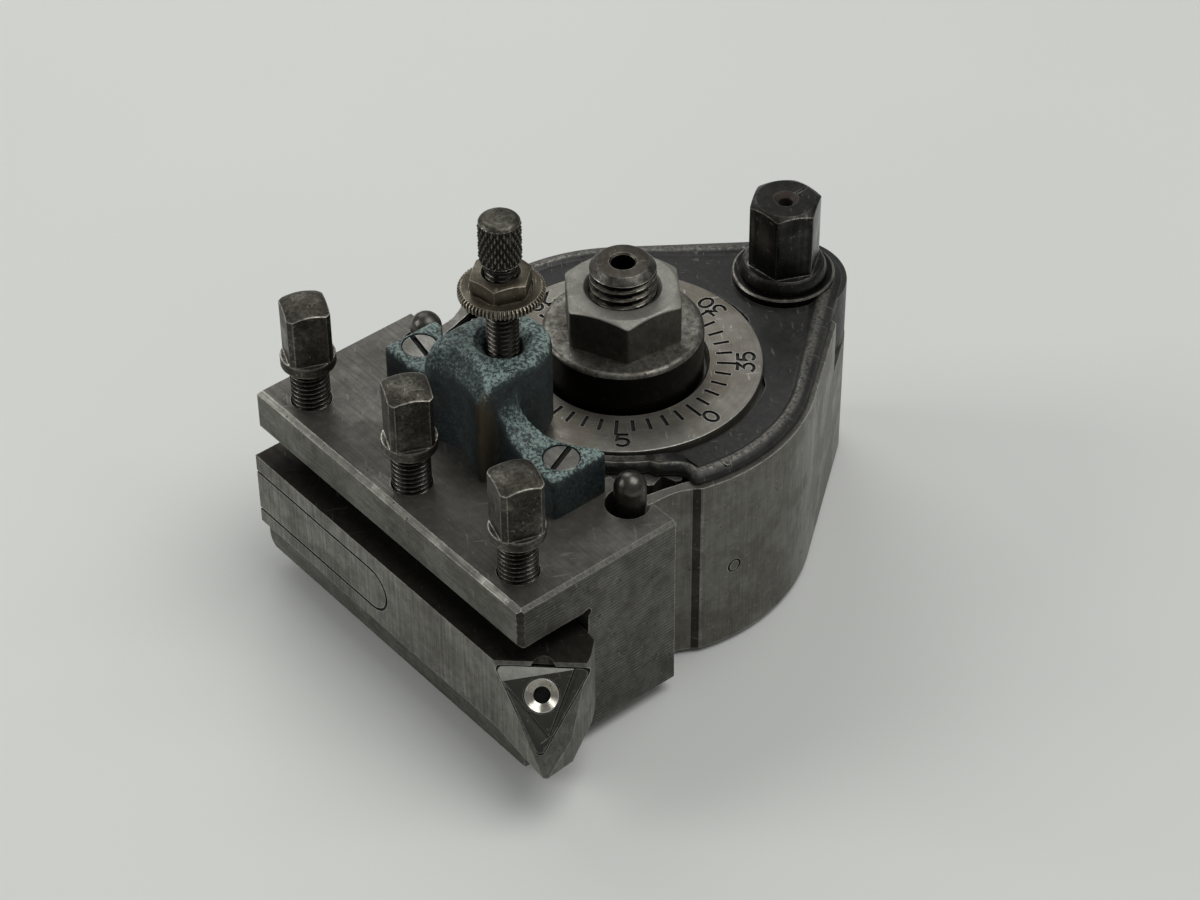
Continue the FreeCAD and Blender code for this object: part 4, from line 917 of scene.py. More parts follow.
@dataclass(frozen=True)
class Enamel:
    """Speckled blue-green paint over a casting, worn brown where hands rub it."""

    name: str = "speckled_enamel"
    dark: Colour = (15, 21, 22)
    mid: Colour = (33, 46, 47)
    light: Colour = (136, 156, 149)
    worn: Colour = (88, 76, 58)
    ridge: Flat = (7.7, -38.6)

    def make(self, effects: Effects) -> bpy.types.Material:
        """Build the material.

        Args:
            effects: The shared effects.

        Returns:
            The material.
        """
        material = bpy.data.materials.new(self.name)
        material.use_nodes = True
        wiring = Wiring(material.node_tree)
        place = wiring.node("ShaderNodeTexCoord").outputs["Object"]
        shape = wiring.node("ShaderNodeNewGeometry")
        # Faces that point up get a lighter mix and more pale speckles.
        up = wiring.band(wiring.parts(shape.outputs["Normal"])[2], -0.1, 0.85)
        speckle = wiring.noise(place, 1700.0, 4.0, 0.8)
        coarse = wiring.noise(place, 380.0, 4.0, 0.6)
        both = wiring.math("ADD", wiring.math("MULTIPLY", speckle, 0.78),
                           wiring.math("MULTIPLY", coarse, 0.22))
        lift = wiring.math("ADD", both, wiring.math("MULTIPLY", up, 0.1))
        colour = wiring.mix(wiring.band(lift, 0.42, 0.56), tone(self.dark), tone(self.mid))
        upward_pale = wiring.math("MULTIPLY", wiring.band(lift, 0.54, 0.68), wiring.band(up, 0.0, 1.0, 0.18, 0.95))
        colour = wiring.mix(upward_pale, colour, tone(self.light))
        across, along, up_from_base = wiring.parts(place)
        off = wiring.math("ABSOLUTE", wiring.math("SUBTRACT", across, self.ridge[0] * MM))
        near = wiring.band(off, 0.6 * MM, 1.5 * MM, 0.9, 0.0)
        reach = wiring.math("ADD", along, wiring.math("MULTIPLY", up_from_base, 0.35))
        ahead = wiring.band(reach, -15.0 * MM, -19.0 * MM)
        grit = wiring.band(wiring.noise(place, 900.0, 4.0, 0.7), 0.36, 0.56, 0.25, 1.0)
        rubbed = wiring.math("MULTIPLY", wiring.math("MULTIPLY", near, ahead), grit)
        colour = wiring.mix(rubbed, colour, tone(self.worn))
        shader = wiring.node("ShaderNodeBsdfPrincipled")
        wiring.feed(shader.inputs["Base Color"], colour)
        wiring.feed(shader.inputs["Metallic"], wiring.math("MULTIPLY", rubbed, 0.8))
        wiring.feed(shader.inputs["Roughness"], wiring.band(speckle, 0.3, 0.7, 0.5, 0.68))
        bump = wiring.node("ShaderNodeBump")
        bump.inputs["Distance"].default_value = 0.12 * MM
        wiring.feed(bump.inputs["Height"], both)
        wiring.feed(shader.inputs["Normal"], bump.outputs[0])
        out = wiring.node("ShaderNodeOutputMaterial")
        wiring.feed(out.inputs["Surface"], shader.outputs[0])
        return material


@dataclass
class Rack:
    """Every finish of the post, made once and handed out by name."""

    effects: Effects = field(default_factory=Effects)
    materials: dict[str, bpy.types.Material] = field(default_factory=dict)

    def fill(self) -> None:
        """Make every finish."""
        for finish in (*FINISHES, Enamel()):
            self.materials[finish.name] = finish.make(self.effects)

    def get(self, name: str) -> bpy.types.Material:
        """The finish of that name."""
        return self.materials[name]


@dataclass
class Assembly:
    """A group of pieces that ride on one body of the frame."""

    rack: Rack
    nodes: dict[str, bpy.types.Object]
    body: str

    def coat(self, item: bpy.types.Object, *names: str) -> bpy.types.Object:
        """Give an object its finishes, the first one on every face.

        Args:
            item: The object.
            names: The finishes in slot order.

        Returns:
            The same object.
        """
        item.data.materials.clear()
        for name in names:
            item.data.materials.append(self.rack.get(name))
        return item

    def hand_over(self, item: bpy.types.Object, slot: str, *replaced: str, sharp: float = 32.0) -> None:
        """Scale a finished piece to metres and give it to its body.

        Args:
            item: The piece, in millimetres.
            slot: The record's material slot; not used.
            replaced: The nodes it stands for.
            sharp: Edges that turn by more degrees than this stay sharp.
        """
        item.data.transform(Matrix.Scale(MM, 4))
        item.data.shade_smooth()
        item.data.set_sharp_from_angle(angle=math.radians(sharp))
        even = item.modifiers.new("even shading", "WEIGHTED_NORMAL")
        even.keep_sharp = True
        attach(item, self.body)
        if replaced:
            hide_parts(*replaced)
        log.info("%s rides on %s with %d faces", item.name, self.body, len(item.data.polygons))

    def dress(self, node: str, name: str) -> None:
        """Give a node of the frame a better finish.

        Args:
            node: The node's name.
            name: The finish.
        """
        item = self.nodes[node]
        for slot in item.material_slots:
            slot.link = "OBJECT"
            slot.material = self.rack.get(name)
        log.info("%s keeps its solid and takes %s", node, name)


def stroke_paths(digit: str) -> list[tuple[list[Flat], bool]]:
    """The strokes of a stamped digit in a box one wide and one and a half high.

    Args:
        digit: One of 0, 1, 2, 3 and 5.

    Returns:
        Each stroke's points and whether it closes on itself.
    """
    bowl = 0.48
    paths: dict[str, list[tuple[list[Flat], bool]]] = {
        "0": [([(0.5 + 0.45 * math.cos(TAU * step / 20), 0.75 + 0.72 * math.sin(TAU * step / 20))
                for step in range(20)], True)],
        "1": [([(0.28, 1.2), (0.55, 1.5), (0.55, 0.0)], False)],
        "2": [(arc(0.45, 165.0, -30.0, 10, (0.5, 1.05)) + [(0.04, 0.0), (1.0, 0.0)], False)],
        "3": [([(0.1, 1.5), (0.9, 1.5), (0.5, 0.95)] + arc(bowl, 75.0, -150.0, 12, (0.5, bowl)), False)],
        "5": [([(0.95, 1.5), (0.2, 1.5), (0.12, 0.8)] + arc(bowl, 110.0, -150.0, 12, (0.5, bowl)), False)],
    }
    return paths[digit]


@dataclass
class CorePost(Assembly):
    """The toothed core's dial, collar, nut and stud."""

    base_level: float = 39.6
    dial_inner: float = 15.2
    dial_outer: float = 25.3
    dial_top: float = 42.2
    tick_width: float = 0.68
    stroke_width: float = 0.64
    tick_depth: float = 0.35
    tick_inner: float = 16.9
    tick_outer: float = 19.9
    numbered_outer: float = 20.9
    numbered_every: int = 5
    first_mark: float = 1.0
    number_radius: float = 22.2
    digit_height: float = 3.0
    digit_width: float = 2.4
    collar_radius: float = 14.6
    collar_top: float = 50.4
    nut_top: float = 59.1
    stud_top: float = 64.7
    stud_radius: float = 6.0

    def build(self) -> None:
        """Make every piece of the core."""
        self.dial()
        self.collar()
        self.nut()
        self.stud()
        self.dress("core_body", "strap_satin")
        self.dress("pressure_block", "oily_black_and_shade")

    def dial(self) -> None:
        """A satin ring with 40 marks and a number at every fifth."""
        top, base = self.dial_top, self.base_level
        edge, bevel = 0.25, 0.5
        profile = [(self.dial_inner, base), (self.dial_outer, base), (self.dial_outer, top - edge),
                   (self.dial_outer - 0.08, top - 0.08), (self.dial_outer - edge, top),
                   (self.dial_inner + bevel, top), (self.dial_inner, top - bevel)]
        ring = Draft().turned(profile, steps=240, closed=True).piece("dial")
        self.coat(ring, "dial_satin")
        floor = top - self.tick_depth
        marks = Draft()
        for index in range(TEETH):
            angle = self.first_mark - PITCH * index
            outer = self.numbered_outer if index % self.numbered_every == 0 else self.tick_outer
            ends = (polar(self.tick_inner, angle), polar(outer, angle))
            marks.sweep(ends, self.tick_width, floor, top + 1.0)
        combine(ring, self.coat(marks.piece("dial_marks"), "ink"))
        numbers = Draft()
        for index in range(0, TEETH, self.numbered_every):
            self.number(numbers, str(index), self.first_mark - PITCH * index, floor)
        combine(ring, self.coat(numbers.piece("dial_numbers"), "ink"), tangled=True)
        self.hand_over(ring, "satin_dial", "dial_ring")

    def number(self, numbers: Draft, text: str, angle: float, floor: float) -> None:
        """Cut one number, its digits' tops towards the centre.

        Args:
            numbers: The cutter being drawn.
            text: The number.
            angle: The mark's angle in degrees.
            floor: The cut's level.
        """
        scale = self.digit_height / 1.5
        step = 1.25 * self.digit_width
        middle = self.number_radius
        start = angle + math.degrees((0.62 * scale if len(text) == 1 else 0.25 * scale) / middle)
        for place, digit in enumerate(text):
            turn = start + math.degrees((place - (len(text) - 1) / 2.0) * step / middle)
            spin = math.radians(turn)
            origin = Vector(polar(middle, turn))
            right = Vector((-math.sin(spin), math.cos(spin)))
            up = Vector((-math.cos(spin), -math.sin(spin)))
            for path, closed in stroke_paths(digit):
                points = []
                for across, rise in path:
                    spot = origin + right * ((across - 0.5) * self.digit_width) + up * ((rise - 0.75) * scale)
                    points.append((spot.x, spot.y))
                numbers.sweep(points, self.stroke_width, floor, self.dial_top + 1.0, closed)

    def collar(self) -> None:
        """The thrust collar under the nut, its rim rounded by wear."""
        edge = 1.1
        rim = arc(edge, 0.0, 90.0, 6, (self.collar_radius - edge, self.collar_top - edge))
        profile = [(6.4, self.base_level), (self.collar_radius - 0.4, self.base_level),
                   (self.collar_radius, self.base_level + 0.4), *rim, (10.6, self.collar_top),
                   (7.4, self.collar_top), (6.4, self.collar_top - 0.6)]
        item = Draft().turned(profile, steps=160, closed=True).piece("collar")
        self.coat(item, "oily_black_and_shade", "grimy_steel")
        for face in item.data.polygons:
            face.material_index = 1 if face.center.z > self.collar_top - edge * 0.85 else 0
        self.hand_over(item, "blackened_steel", "thrust_collar", sharp=50.0)

    def nut(self) -> None:
        """The hexagon nut with its turned chamfers."""
        across, turn, flat, slope = 20.0, 24.0, 9.7, 0.55
        bar = Bar(6, across, turn, self.collar_top, self.nut_top, flat, slope)
        rings = bar.rings(144)[:3]
        hole = self.stud_radius + 0.1
        steps = len(rings[0])
        for radius, level in ((hole + 0.9, self.nut_top), (hole, self.nut_top - 0.9),
                              (hole, self.collar_top)):
            rings.append(circle(radius, level, steps, start=turn))
        item = Draft().loft(rings, closed=True).piece("nut")
        self.coat(soften(item, 0.22, 2), "nut_steel", "nut_flank")
        for face in item.data.polygons:
            face.material_index = 1 if abs(face.normal.z) < 0.2 else 0
        self.hand_over(item, "bright_steel", "stud_nut")

    def stud(self) -> None:
        """The centre stud: plain below, threaded where it stands out of the nut."""
        top, radius = self.stud_top, self.stud_radius
        thread = Thread(radius, 1.05, 1.75, self.nut_top - 2.0, top - 1.3, fade=0.4)
        steps = 96
        ring = partial(circle, steps=steps)
        rings = [ring(9.5, 0.0), ring(9.5, 7.0), ring(radius, 7.0), ring(radius, self.nut_top - 2.2)]
        rings += thread.rings(steps, 10)
        rings += [ring(radius - 0.15, top - 1.15), ring(radius - 1.15, top - 0.1), ring(radius - 1.4, top),
                  ring(2.5, top), ring(2.2, top - 0.3), ring(2.2, top - 22.0)]
        item = Draft().loft(rings).piece("stud")
        self.coat(item, "stud_steel", "oily_black_and_shade", "rim_wear_and_highlight")
        # The deep centre hole and the thread's roots take the oily black finish: painted shade inside the
        # hole and in the grooves. The top bevel takes the lighter rim finish, partly wear and partly a
        # painted highlight.
        for face in item.data.polygons:
            x, y, z = face.center
            away = math.hypot(x, y)
            bevel = radius - 1.3 < away < radius - 0.3 and z > top - 1.15
            face.material_index = 2 if bevel else 1 if away < radius - 0.5 and z < top - 1.15 else 0
        self.hand_over(item, "threaded_steel", "centre_stud", sharp=40.0)


@dataclass
class Clamp(Assembly):
    """The strap round the core, its pins, and the cover over it."""

    strap_radius: float = 35.3
    wall: float = 2.7
    bottom: float = 1.1
    top: float = 40.0
    corner: float = 13.8
    outer_corner: float = 12.0
    offset: float = 39.1
    bend: float = 10.4
    step_level: float = 28.0
    pin: Flat = (28.6, -22.7)
    pin_radius: float = 2.9
    pin_top: float = 47.0
    cover_top: float = 42.1
    rim_width: float = 5.0
    field_drop: float = 0.85
    dowel_gap: float = 1.42
    dowel_place: Flat = (-3.8, 18.6)
    hole_radius: float = 26.0
    boss_radius: float = 9.6
    boss_top: float = 42.8
    shaft_gap: float = 6.45
    rivet: Flat = (33.05, -4.2)
    rivet_radius: float = 0.65

    def build(self) -> None:
        """Make every piece of the clamp."""
        self.strap()
        self.pins()
        self.cover()
        self.dress("base_plate", "strap_satin")
        self.dress("cover_rivets", "pin_grey")
        self.dress("strap_dowels", "strap_satin")
        self.dress("upper_bush", "bush_bronze")
        self.dress("lower_bush", "bush_bronze")

    def strap_outline(self) -> list[Flat]:
        """The strap seen from above, open in front, with its ends bent in to the pins."""
        start = math.degrees(math.asin(-(self.bend - 0.3) / self.strap_radius))
        inner = self.strap_radius - self.wall
        end = math.degrees(math.asin(-(self.bend - 1.0) / inner))
        split = math.degrees(math.asin((self.strap_radius - self.outer_corner) / self.offset))
        outside = arc(self.strap_radius, start, split, 24)
        outside += arc(self.outer_corner, split, 180.0 - split, 32, (0.0, self.offset))
        outside += arc(self.strap_radius, 180.0 - split, 180.0 - start, 24)
        split = math.degrees(math.asin((self.strap_radius - self.corner) / self.offset))
        tab = [(33.56, -10.72), (32.7, -11.86), (31.63, -13.97), (31.2, -15.8), (30.91, -18.92),
               (30.7, -21.44)]
        seat = [(28.18, -20.0), (28.7, -18.92), (29.35, -15.8), (30.27, -12.5)]
        inside = arc(inner, 180.0 - end, 180.0 - split, 24)
        inside += arc(self.corner - self.wall, 180.0 - split, split, 32, (0.0, self.offset))
        inside += arc(inner, split, end, 24)
        left_tab = [(-x, y) for x, y in tab]
        left_seat = [(-x, y) for x, y in seat]
        return outside + left_tab + left_seat + inside + seat[::-1] + tab[::-1]

    def strap(self) -> None:
        """The band, cut down at the back where the cover's skirt sits."""
        item = Draft().prism(self.strap_outline(), self.bottom, self.top).piece("strap")
        step = Draft().block((-60.0, self.offset - 1.0, self.step_level), (60.0, 90.0, 60.0))
        combine(item, step.piece("strap_step"))
        pins = Draft()
        for side in (1.0, -1.0):
            pins.turned([(self.pin_radius, 0.0), (self.pin_radius, 60.0)],
                        (side * self.pin[0], self.pin[1]), 48)
        combine(item, pins.piece("strap_seats"))
        for side in (1.0, -1.0):
            gap = Draft().turned([(self.dowel_gap, 0.0), (self.dowel_gap, 12.0)], steps=32)
            lying = Matrix.Rotation(-side * TAU / 4.0, 4, "Y")
            gap.moved(Matrix.Translation((side * 40.0, *self.dowel_place)) @ lying)
            combine(item, gap.piece("dowel_gap"))
        self.coat(soften(item, 0.3, 2, 35.0), "strap_satin", "shank_side", "shank_dark")
        # At each tab the narrow face on the bend takes the lighter shank finish, a painted highlight along
        # the bend, and the concave faces beside it take the dark shank finish, painted shade.
        for face in item.data.polygons:
            x, y, z = face.center
            bend = abs(abs(x) - 33.7) < 0.35 and abs(y + self.bend) < 0.5
            hollow = 32.65 < abs(x) < 33.5 and -12.0 < y < -10.8
            face.material_index = 1 if bend and self.bottom + 0.5 < z < self.top - 0.5 else 2 if hollow else 0
        self.hand_over(item, "strap_steel", "clamp_strap")

    def pins(self) -> None:
        """The two round-headed pins that the holder hangs on."""
        for side, name in ((1.0, "right"), (-1.0, "left")):
            dome = arc(self.pin_radius, 0.0, 82.0, 10, (0.0, self.pin_top - self.pin_radius))
            profile = [(self.pin_radius - 0.3, self.bottom), (self.pin_radius, self.bottom + 0.3), *dome]
            item = Draft().turned(profile, (side * self.pin[0], self.pin[1]), 64).piece("pin_" + name)
            self.coat(item, "pin_grey")
            self.hand_over(item, "pin_steel", "strap_pin_" + name, sharp=60.0)

    def cover_outline(self) -> list[Flat]:
        """The cover seen from above: the teardrop, waisted in front to a ring round the dial."""
        radius = self.strap_radius - 1.0
        small = self.outer_corner - 1.0
        split = math.degrees(math.asin((radius - small) / self.offset))
        start = math.degrees(math.asin(-9.6 / radius))
        side = arc(radius, start, split, 40)
        back = arc(small, split, 180.0 - split, 48, (0.0, self.offset))
        ear = [(32.75, -10.35), (32.2, -10.95), (31.4, -11.15), (30.5, -10.9), (29.6, -10.75), (28.7, -11.0),
               (27.9, -11.6), (27.25, -12.4), (26.6, -13.3), (25.9, -14.3)]
        front = arc(28.5, -31.2, -148.8, 90)
        half = side + back + [(-x, y) for x, y in reversed(side)]
        left = [(-x, y) for x, y in ear]
        path = half + left + list(reversed(front)) + list(reversed(ear))
        return path

    def cover(self) -> None:
        """The cover: a dark field inside a raised rim whose crest is lighter, partly polished by wear and
        partly a painted highlight.
        """
        outline = self.cover_outline()
        hole = (0.0, 0.4)
        hole_radius = self.hole_radius
        gaps, sides = [], []
        for x, y in outline:
            sides.append(math.atan2(y - hole[1], x - hole[0]))
            gaps.append(math.hypot(x - hole[0], y - hole[1]) - hole_radius)

        def ring(inset: float, drop: float, fall: float = 0.0) -> list[Point]:
            """One ring of the rim, drawn in by an inset and dropped where there is a field."""
            share = 0.42 * inset / self.rim_width
            points = offset_outline(outline, lambda index: min(inset, gaps[index] * share))
            return [(x, y, self.cover_top - drop - fall * smooth(gaps[index], 3.2, 6.0))
                    for index, (x, y) in enumerate(points)]

        def lip(radius: float, drop: float, fall: float = 0.0) -> list[Point]:
            """One ring of the edge of the hole."""
            return [(hole[0] + radius * math.cos(side), hole[1] + radius * math.sin(side),
                     self.cover_top - drop - fall * smooth(gap, 3.2, 6.0)) for side, gap in zip(sides, gaps)]

        rounded = ((0.0, 2.1), (0.0, 1.5), (0.2, 1.05), (0.7, 0.66), (1.4, 0.34), (2.1, 0.12), (2.7, 0.01),
                   (3.2, 0.0, 0.06), (3.7, 0.04, 0.26), (4.3, 0.1, 0.6),
                   (self.rim_width, 0.15, self.field_drop))
        rings = [ring(*step) for step in rounded]
        rings += [lip(hole_radius + 0.35, 0.15, self.field_drop),
                  lip(hole_radius, 0.45, self.field_drop - 0.2), lip(hole_radius, 2.1)]
        item = Draft().loft(rings, closed=True).piece("cover")
        self.coat(item, "cover_black", "rim_wear_and_highlight")
        # Front faces of the rim's crest take the lighter rim finish: partly wear, partly a painted highlight
        # on the rounded front edge.
        for face in item.data.polygons:
            x, y, z = face.center
            away = math.hypot(x - hole[0], y - hole[1])
            front = z > self.cover_top - 0.7 and y < -13.0
            face.material_index = 1 if front and away > hole_radius + 0.3 else 0
        low, high, hub, bore_wall = 40.1, self.boss_top, self.boss_radius, 6.46
        profile = [(hub, low), (hub, 42.5), (9.4, 42.75), (9.1, high), (bore_wall, high), (bore_wall, low)]
        boss = Draft().turned(profile, (0.0, self.offset), 96, closed=True)
        boss = self.coat(boss.piece("cover_boss"), "oily_black_and_shade", "rim_wear_and_highlight")
        # The boss's outer rim takes the lighter rim finish: partly wear, partly a painted highlight.
        for face in boss.data.polygons:
            away = math.hypot(face.center.x, face.center.y - self.offset)
            face.material_index = 1 if away > 9.2 and face.center.z > 42.45 else 0
        combine(item, boss, Join.ADD)
        reach = self.outer_corner - 0.1
        shape = arc(reach, 0.0, 180.0, 48, (0.0, self.offset))
        shape = [(reach, self.offset - 0.8), *shape, (-reach, self.offset - 0.8)]
        share = 0.81
        inner = [(x * share, self.offset + (y - self.offset) * share) for x, y in reversed(shape)]
        skirt = Draft().prism(shape + inner, 28.2, 41.0).piece("cover_skirt")
        combine(item, self.coat(skirt, "cover_black"), Join.ADD)
        bore = Draft().turned([(self.shaft_gap, 30.0), (self.shaft_gap, 60.0)], (0.0, self.offset), 64)
        combine(item, bore.piece("cover_bore"))
        holes = Draft()
        for side in (1.0, -1.0):
            centre = (side * self.rivet[0], self.rivet[1])
            holes.turned([(self.rivet_radius, 39.0), (self.rivet_radius, 44.0)], centre, 24)
        combine(item, self.coat(holes.piece("cover_holes"), "ink"))
        self.hand_over(item, "black_paint", "top_cover", sharp=38.0)


@dataclass
class Eccentric(Assembly):
    """The shaft that closes the clamp, turned by its hexagon."""

    centre: Flat = (0.0, 39.1)
    flange_bottom: float = 42.9
    flange_top: float = 45.3
    top: float = 59.2
    corner: float = 5.0

    def build(self) -> None:
        """Make the shaft and dress its ring."""
        self.shaft()
        self.dress("retaining_ring", "oily_black_and_shade")

    def shaft(self) -> None:
        """The hexagon on its rounded flange, with the journals and the cam below."""
        steps = 144

        def ring(size: float, level: float, shift: float = 0.0) -> list[Point]:
            """A plain ring of the shaft, shifted forward for the cam."""
            middle = (self.centre[0], self.centre[1] - shift)
            return circle(size, level, steps, middle, self.corner)

        lower, cam, upper, throw = 4.0, 4.5, 5.6, 1.0
        cam_bottom, cam_top, base = 6.4, 35.7, self.flange_bottom
        rings = [ring(lower, 0.4), ring(lower, cam_bottom), ring(cam, cam_bottom, throw),
                 ring(cam, cam_top, throw), ring(upper, cam_top), ring(upper, base), ring(8.0, base),
                 ring(8.1, base + 0.5), ring(7.95, base + 1.3), ring(7.6, self.flange_top - 0.35),
                 ring(7.2, self.flange_top)]
        bar = Bar(6, 12.0, self.corner, self.flange_top, self.top, 5.5, 0.6, self.centre)
        rings += bar.rings(steps)[:3]
        rings += [ring(2.3, self.top), ring(1.3, self.top - 0.9), ring(1.2, self.top - 2.6),
                  ring(0.2, self.top - 3.2)]
        item = Draft().loft(rings).piece("eccentric")
        mark = Draft().block((-0.2, 0.0, self.top - 0.25), (0.2, 9.0, self.top + 1.0))
        mark.moved(Matrix.Translation((self.centre[0], self.centre[1] + 2.4, 0.0)))
        combine(item, self.coat(mark.piece("index_line"), "ink"))
        self.coat(soften(item, 0.2, 2, 20.0), "shaft_black", "rust", "hexagon_reflection_streaks", "ink")
        for face in item.data.polygons:
            x, y, z = face.center
            away = math.hypot(x - self.centre[0], y - self.centre[1])
            # The hexagon's upright faces take the streaked finish, whose bands are painted reflections.
            upright = abs(face.normal.z) < 0.3 and self.flange_top < z < self.top - 0.3 and away > 5.0
            # In the centre hole: rust at the mouth, then the near-black ink finish further down, painted
            # shade inside the hole.
            if away < 2.4 and z < self.top - 0.02:
                face.material_index = 1 if z > self.top - 1.0 else 3 if z > self.top - 3.3 else 0
            else:
                face.material_index = 2 if upright else 0
        self.hand_over(item, "blackened_steel", "eccentric_shaft")


@dataclass
class Holder(Assembly):
    """The slotted block with its cast bracket."""

    half: float = 37.5
    front: float = 54.5
    back: float = 20.0
    lip: float = 18.7
    bottom: float = 3.0
    top: float = 40.6
    slot_floor: float = 11.5
    slot_roof: float = 31.8
    slot_back: float = 40.0
    bracket_y: float = -27.2
    bracket_top: float = 61.4
    foot: Flat = (19.8, -30.7)
    foot_top: float = 49.5
    screw_y: float = -48.2
    screw_places: tuple[float, ...] = (-29.4, 0.0, 29.4)
    screw_hole: float = 3.75
    keyhole: Flat = (28.6, -23.2)
    keyhole_radius: float = 4.1
    keyhole_sides: Flat = (26.2, 31.35)
    sweep_radius: float = 9.2
    dial_clearance: float = 32.4
    nose_hollow: float = 11.6

    def build(self) -> None:
        """Make every piece of the holder."""
        self.block()
        self.bracket()
        self.foot_screw("right", 1.0, 113.0)
        self.foot_screw("left", -1.0, 169.0)

    def section(self) -> list[Flat]:
        """The block's cross-section as y and z, with its slot and its larger front chamfer."""
        front, chamfer = -self.front, 0.9
        mouth = 0.5
        relief = arc(1.0, -90.0, 90.0, 8, (-self.slot_back, self.slot_roof - 0.5))
        return [(front + 0.4, self.bottom), (-self.back, self.bottom), (-self.back, self.top),
                (front + chamfer, self.top), (front, self.top - chamfer), (front, self.slot_roof + mouth),
                (front + mouth, self.slot_roof), (-self.slot_back - 0.9, self.slot_roof),
                *[(y, z) for y, z in reversed(relief)][1:-1],
                (-self.slot_back, self.slot_floor), (front + mouth, self.slot_floor),
                (front, self.slot_floor - mouth), (front, self.bottom + 0.4)]

    def block(self) -> None:
        """The steel block with its slot, teeth, keyholes and screw holes."""
        section = self.section()
        ends = [[(x, y, z) for y, z in section] for x in (-self.half, self.half)]
        item = Draft().loft(ends).piece("holder")
        self.coat(item, "milled_steel", "ground_front", "ground_end", "shank_dark", "shank_side")
        worn = arc(3.0, 180.0, 270.0, 6, (-self.half + 3.0, self.bottom + 3.0))
        worn = [(-self.half - 2.0, self.bottom - 2.0), (-self.half - 2.0, self.bottom + 3.0), *worn,
                (-self.half + 3.0, self.bottom - 2.0)]
        corner = Draft().loft([[(x, y, z) for x, z in worn] for y in (-70.0, -self.slot_back + 2.0)])
        combine(item, corner.piece("worn_corner"))
        back = Draft().prism([(-60.0, -self.lip), (60.0, -self.lip), (60.0, 0.0), (-60.0, 0.0)], 0.0, 60.0)
        combine(item, back.piece("holder_back"))
        dents = []
        for index in range(25):
            level = self.slot_roof - 1.0 + (self.top - self.slot_roof + 2.0) * index / 24
            size = 1.0 + 0.16 * math.sin(index * 2.1) + 0.1 * math.sin(index * 5.3)
            dents.append([(self.half - size, -self.front - 0.01, level),
                          (self.half + 1.0, -self.front - 1.0, level),
                          (self.half + 0.01, -self.front + size, level)])
        combine(item, Draft().loft(dents).piece("dented_corner"))
        for side in (1.0, -1.0):
            edge = [(side * (self.half - 0.7), self.top + 0.02), (side * (self.half + 0.02), self.top - 0.7),
                    (side * (self.half + 1.0), self.top + 1.0)]
            chamfer = Draft().loft([[(x, y, z) for x, z in edge] for y in (-70.0, -5.0)])
            combine(item, chamfer.piece("end_chamfer"))
        self.teeth(item)
        soften(item, 0.3, 2, 32.0)
        for face in item.data.polygons:
            dented = face.center.x > self.half - 1.1 and face.center.y < 1.1 - self.front
            # The top chamfers: the front one takes the ground finish, and the end ones the lighter shank
            # finish, a painted highlight along them.
            if 0.5 < face.normal.z < 0.9 and face.center.z > self.top - 1.0:
                face.material_index = 4 if abs(face.normal.x) > 0.4 else 1
            elif abs(face.normal.z) > 0.6:
                face.material_index = 0
            elif dented and 0.3 < abs(face.normal.x) < 0.95:
                face.material_index = 3
            else:
                face.material_index = 2 if abs(face.normal.x) > 0.8 else 1
        self.hand_over(item, "ground_steel", "holder_block")

    def teeth(self, item: bpy.types.Object) -> None:
        """Cut the teeth, the keyholes and the screw holes into the block.

        Args:
            item: The block.
        """
        tip, root, half_width = 31.8, 29.92, 2.1
        outline = []
        slope = half_width / 2.0
        edge = math.degrees(slope * (tip - root) / tip)
        for tooth in range(TEETH):
            middle = PITCH * tooth
            outline += [polar(root, middle), polar(tip, middle + edge), polar(tip, middle + PITCH - edge)]
        combine(item, Draft().prism(outline, -1.0, 60.0).piece("tooth_space"))
        for side in (1.0, -1.0):
            centre = (side * self.keyhole[0], self.keyhole[1])
            hole = Draft().turned([(self.keyhole_radius, -1.0), (self.keyhole_radius, 60.0)], centre, 48)
            combine(item, hole.piece("keyhole"))
            low, high = sorted(side * part for part in self.keyhole_sides)
            way = Draft().block((low, -22.4, -1.0), (high, -15.0, 60.0))
            combine(item, way.piece("keyhole_way"))
        holes = Draft()
        for x in self.screw_places:
            holes.turned([(self.screw_hole, self.slot_roof - 1.0), (self.screw_hole, 60.0)],
                         (x, self.screw_y), 48)
        combine(item, holes.piece("screw_holes"))

    def bracket(self) -> None:
        """The cast bridge: a boss, two swept feet and a hollow front with worn ridges."""
        base, radius, end = self.top, 8.5, 23.9
        low = base - 4.0
        head = self.foot_top + self.sweep_radius
        item = Draft().block((-end, -35.8, low), (end, -24.0, head)).piece("bracket")
        clear = Draft().turned([(self.dial_clearance, 0.0), (self.dial_clearance, 90.0)], steps=160)
        combine(item, clear.piece("dial_clearance"))
        for side in (1.0, -1.0):
            middle = (side * (radius + self.sweep_radius), self.foot_top + self.sweep_radius)
            points = arc(self.sweep_radius, 0.0, 360.0, 48, middle)[:-1]
            sweep = Draft().loft([[(x, y, z) for x, z in points] for y in (-40.0, -10.0)])
            combine(item, sweep.piece("sweep"))
            near, far = sorted((side * (radius + self.sweep_radius), side * 60.0))
            level = Draft().block((near, -60.0, self.foot_top), (far, 0.0, 90.0))
            combine(item, level.piece("level"))
        edge = 1.6
        lean = arc(edge, 0.0, 90.0, 5, (radius - edge, self.bracket_top - edge))
        tower = Draft().turned([(radius, low), *lean], (0.0, self.bracket_y), 64)
        combine(item, tower.piece("tower"), Join.ADD)
        bend, nose_y = 5.5, -39.4
        brow = arc(bend, 180.0, 90.0, 10, (-33.2, self.bracket_top - bend))
        side_view = [(self.bracket_y, low), (nose_y, low), (nose_y, base + 3.0), *brow,
                     (self.bracket_y, self.bracket_top)]
        nose = Draft().loft([[(x, y, z) for y, z in side_view] for x in (-radius, radius)])
